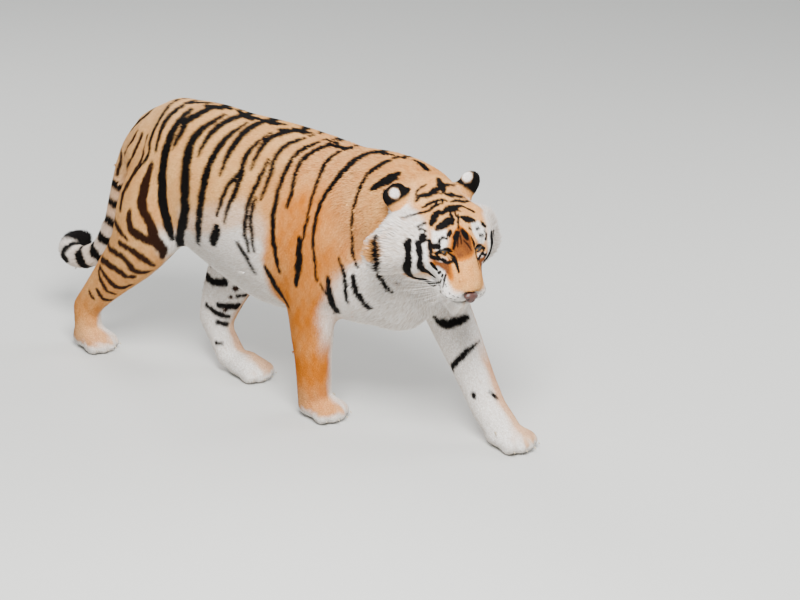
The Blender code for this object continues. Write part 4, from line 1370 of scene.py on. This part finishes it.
def eye_material():
    """A wet eye: amber iris streaked from its round pupil, in a dark rim, under a clear cornea."""
    made, tree, shader = material("tiger_eye", Roughness=0.15)
    shader.inputs["Coat Weight"].default_value = 0.35
    shader.inputs["Coat Roughness"].default_value = 0.03
    gaze = node(tree, "ShaderNodeAttribute", attribute_name="gaze").outputs["Fac"]
    place = node(tree, "ShaderNodeTexCoord").outputs["Object"]
    streak = node(tree, "ShaderNodeTexNoise", [("Vector", place)], {"Scale": 700.0})
    ring = node(tree, "ShaderNodeValToRGB", [("Fac", gaze)])
    stops = ((0.0, "#040302"), (0.20, "#040302"), (0.24, "#6A4008"), (0.50, "#B8801C"),
             (0.62, "#5E3A0E"), (0.68, "#0A0706"), (1.0, "#140C09"))
    band = ring.color_ramp
    while len(band.elements) < len(stops):
        band.elements.new(0.5)
    for stop, (spot, code) in zip(band.elements, stops):
        stop.position = spot
        stop.color = colour(code)
    streaks = mixed(tree, streak.outputs["Fac"], "#A08060", "#FFFFFF")
    tree.links.new(mixed(tree, 0.6, ring.outputs["Color"], streaks, "MULTIPLY"),
                   shader.inputs["Base Color"])
    return made


def finished(tree, shader, shade, height, strength, depth):
    """Give a shader its colour and a fine relief of some millimetres' depth."""
    tree.links.new(shade, shader.inputs["Base Color"])
    bump = node(tree, "ShaderNodeBump", [("Height", height)],
                {"Strength": strength, "Distance": depth * MM})
    tree.links.new(bump.outputs[0], shader.inputs["Normal"])


def plain_material(name, code, roughness, grain, depth):
    """A finish of one colour, with fine grain so that it isn't flat."""
    made, tree, shader = material(name, Roughness=roughness)
    place = node(tree, "ShaderNodeTexCoord").outputs["Object"]
    speck = node(tree, "ShaderNodeTexNoise", [("Vector", place)], {"Scale": 1 / (grain * MM)})
    shade = mixed(tree, speck.outputs["Fac"], "#C8C0B8", "#FFFFFF")
    finished(tree, shader, mixed(tree, 1.0, code, shade, "MULTIPLY"), speck.outputs["Fac"], 0.3, depth)
    return made


# ---------------------------------------------------------------- small pieces

def eyeball(side):
    """An eyeball with the bulge of its cornea, and how far each point is from where it looks."""
    centre = HEAD @ Vector((EYE_BACK, SIDES[side] * EYE_SPREAD, 0.0))
    item = primitive("eyeball_" + side, bpy.ops.mesh.primitive_uv_sphere_add,
                     segments=48, ring_count=32, radius=EYE_RADIUS)
    look = Vector((0.93, SIDES[side] * 0.20, 0.16)).normalized()
    turn = Vector((0, 0, 1)).rotation_difference(HEAD.to_3x3() @ look).to_matrix()
    points = points_of(item.data)
    off = np.arccos(np.clip(points[:, 2] / EYE_RADIUS, -1, 1))
    bulge = 1 + 0.05 * ramp(-off, -0.70, -0.30)
    points = (points * bulge[:, None]) @ np.array(turn).T + np.array(centre)
    set_points(item.data, points)
    put_attribute(item.data, "gaze", off / 1.1)
    smooth(item)
    return item


def eye_rim(side):
    """The bare black rim of the lids, an almond ring that lies on the eyeball."""
    item = primitive("eye_rim_" + side, bpy.ops.mesh.primitive_torus_add, major_segments=72,
                     minor_segments=10, major_radius=1.0, minor_radius=0.11)
    sign = SIDES[side]
    turn = sign * LID_SLANT
    points = []
    for point in item.data.vertices:
        around = math.atan2(point.co.y, point.co.x)
        out = math.hypot(point.co.x, point.co.y) - 1
        rise = math.sin(around)
        across = LID_ACROSS * math.cos(around)
        over = rise * abs(rise) * (LID_UP if rise > 0 else LID_DOWN)
        away = Vector((math.cos(around) / LID_ACROSS, rise / LID_UP)).normalized()
        across = (across + away.x * out * 0.9 + LID_SHIFT) * sign
        over = over + away.y * out * 0.9 + LID_RAISE
        flat = Vector((across * math.cos(turn) - over * math.sin(turn),
                       across * math.sin(turn) + over * math.cos(turn)))
        ahead = math.sqrt(max(1 - flat.length_squared, 0.02))
        reach = EYE_RADIUS + 1.6 * MM + point.co.z * 15 * MM
        way = Vector((ahead, flat.x, flat.y)).normalized()
        points.append(HEAD @ (Vector((EYE_BACK, sign * EYE_SPREAD, 0.0)) + way * reach))
    for point, place in zip(item.data.vertices, points):
        point.co = place
    edit_all(item, bpy.ops.mesh.normals_make_consistent, inside=False)
    smooth(item)
    return item


def nose_pad():
    """The nose: broad above, pinched below, with a comma of a nostril on each side."""
    item = primitive("nose_pad", bpy.ops.mesh.primitive_uv_sphere_add, segments=96,
                     ring_count=64, radius=1.0)
    points = points_of(item.data)
    ahead, side, up = points.T
    side = side * np.interp(up, (-1.0, -0.4, 0.3, 1.0), (0.45, 0.72, 1.0, 1.0))
    wing = np.exp(-((np.abs(side) - 0.62) / 0.22) ** 2 - ((up + 0.15) / 0.40) ** 2)
    cleft = np.exp(-(side / 0.07) ** 2) * ramp(-up, -0.2, 0.3)
    hole = np.exp(-((np.abs(side) - 0.50 + 0.25 * up) / 0.13) ** 2 - ((up + 0.22) / 0.26) ** 2)
    hole *= ramp(ahead, 0.1, 0.4)
    ahead = ahead + 0.10 * wing - 0.12 * cleft - 0.45 * hole
    tilt = math.radians(-20)
    ahead, side, up = ahead * 0.015, side * 0.0250, up * 0.0190
    places = np.stack((ahead * math.cos(tilt) + up * math.sin(tilt) + 0.1355, side,
                       -ahead * math.sin(tilt) + up * math.cos(tilt) - 0.086), 1)
    set_points(item.data, placed(HEAD, places))
    # Where the painted shade falls on the nose: deep in the nostrils and along the cleft.
    put_attribute(item.data, "hollow_shade", np.clip(hole * 1.3 + 0.6 * cleft, 0, 1))
    smooth(item)
    return item


def claws():
    """The claws, rounded from the solids' facets and joined."""
    names = [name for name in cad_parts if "claw" in name]
    item = joined_copy(names, "claws")
    round_off = item.modifiers.new("round", "SUBSURF")
    round_off.levels = 2
    round_off.render_levels = 2
    apply_all(item)
    smooth(item)
    return item, names


def whiskers():
    """White whiskers, stiff and tapered, in four rows on each side of the muzzle."""
    shape = bmesh.new()
    for sign in SIDES.values():
        for row in range(4):
            for place in range(5):
                root = Vector((0.118 - 0.016 * place - 0.004 * row, sign * (0.034 + 0.011 * place),
                               -0.082 - 0.011 * row))
                length = (0.075 + 0.016 * place) * DICE.uniform(0.8, 1.15)
                out = Vector((0.25 - 0.22 * place, sign * 1.0, -0.25 - 0.12 * row
                              + DICE.uniform(-0.12, 0.12)))
                bend = Vector((-0.6, 0, -0.25))
                hair(shape, root, out.normalized(), bend, length, 0.55 * MM)
    for sign in SIDES.values():
        for number in range(5):
            root = Vector((0.008 - 0.010 * number, sign * (0.050 + 0.008 * number), 0.024))
            out = Vector((0.25, sign * (0.4 + 0.1 * number), 0.8))
            hair(shape, root, out.normalized(), Vector((-0.6, 0, 0)), 0.05, 0.40 * MM)
    mesh = bpy.data.meshes.new("whiskers")
    shape.to_mesh(mesh)
    shape.free()
    return add_object("whiskers", mesh)


def hair(shape, root, way, bend, length, radius):
    """One stiff hair of four sides, bent as it goes, closed at both ends."""
    rings = []
    steps = 6
    place = root.copy()
    for step in range(steps):
        share = step / steps
        aim = (way + bend * share * share).normalized()
        side = aim.cross(Vector((0.3, 0.1, 1))).normalized()
        over = aim.cross(side)
        size = radius * (1 - share) ** 0.7
        ring = []
        for index in range(4):
            angle = math.tau * index / 4
            spot = place + side * size * math.cos(angle) + over * size * math.sin(angle)
            ring.append(shape.verts.new(HEAD @ spot))
        rings.append(ring)
        place = place + aim * length / steps
    tip = shape.verts.new(HEAD @ place)
    shape.faces.new(rings[0][::-1])
    for low, high in zip(rings, rings[1:]):
        for index in range(4):
            after = (index + 1) % 4
            shape.faces.new((low[index], low[after], high[after], high[index]))
    for index in range(4):
        shape.faces.new((rings[-1][index], rings[-1][(index + 1) % 4], tip))


# ---------------------------------------------------------------- stage

def stage():
    """A plain pale floor, soft studio light and the camera."""
    floor = primitive("floor", bpy.ops.mesh.primitive_plane_add, size=40)
    made, _, shader = material("pale_floor", Roughness=0.85)
    shader.inputs["Base Color"].default_value = colour("#C8C8C4")
    floor.data.materials.append(made)
    world = bpy.data.worlds.new("studio")
    world.use_nodes = True
    world.node_tree.nodes["Background"].inputs["Color"].default_value = colour("#EEF1F5")
    world.node_tree.nodes["Background"].inputs["Strength"].default_value = 0.64
    bpy.context.scene.world = world
    for name, place, size, power in (("key", (-2.8, -2.6, 4.4), 2.0, 760),
                                     ("fill", (3.4, -2.4, 2.6), 3.0, 130),
                                     ("back", (1.0, 3.6, 3.4), 2.6, 130)):
        light = bpy.data.lights.new(name, "AREA")
        light.size = size
        light.energy = power
        item = add_object(name, light)
        item.location = place
        aim = Vector((0, 0, 0.5)) - Vector(place)
        item.rotation_euler = aim.to_track_quat("-Z", "Y").to_euler()
    camera()


def camera():
    """The camera: from the front right, a little above, through a long lens."""
    turn, rise, distance = math.radians(-50), math.radians(20), 13.0
    way = Vector((math.sin(turn) * math.cos(rise), -math.cos(turn) * math.cos(rise), math.sin(rise)))
    eye = bpy.data.cameras.new("camera")
    eye.lens = 180.18
    eye.sensor_width = 36
    eye.shift_x = 0.14125
    eye.shift_y = -0.04205
    eye.clip_end = 60
    item = add_object("camera", eye)
    item.location = BODY @ Vector((0, 0, 0.45)) + way * distance
    item.rotation_euler = way.to_track_quat("Z", "Y").to_euler()
    bpy.context.scene.camera = item


def settle(item, finish, slot, *nodes):
    """Give a finished piece its finish and its body, and hide the nodes it stands for. The slot is not
    used.
    """
    item.data.materials.clear()
    item.data.materials.append(finish)
    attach(item, "root")
    if nodes:
        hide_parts(*nodes)


def main():
    """Dress the tiger."""
    skin = Skin()
    lines = all_lines(skin)
    spots = Places(skin.points, skin.normals, skin.home, np.zeros(len(skin.points)))
    marks = marks_at(spots, skin.warmth, skin.pale, skin.trunk, lines)
    for key, values in marks.items():
        put_attribute(skin.item.data, key, values)
    smooth(skin.item)
    settle(skin.item, skin_material(), "coat", *FLESH)
    hair_finish = coat_material()
    for name in COAT_PIECES:
        settle(grow(skin, lines, name), hair_finish, "ear" if name == "coat_ears" else "coat")
    eye_finish = eye_material()
    rim_finish = plain_material("rim_skin", "#070404", 0.60, 1.0, 0.1)
    for side in SIDES:
        settle(eyeball(side), eye_finish, "eye", "eye_" + side)
        settle(eye_rim(side), rim_finish, "nose")
    settle(nose_pad(), nose_material(), "nose", "nose")
    horn, names = claws()
    settle(horn, plain_material("claw_horn", "#C9BBA0", 0.35, 3.0, 0.1), "claw", *names)
    settle(whiskers(), plain_material("whisker_hair", "#F4F2EE", 0.40, 2.0, 0.05), "coat")
    stage()


main()
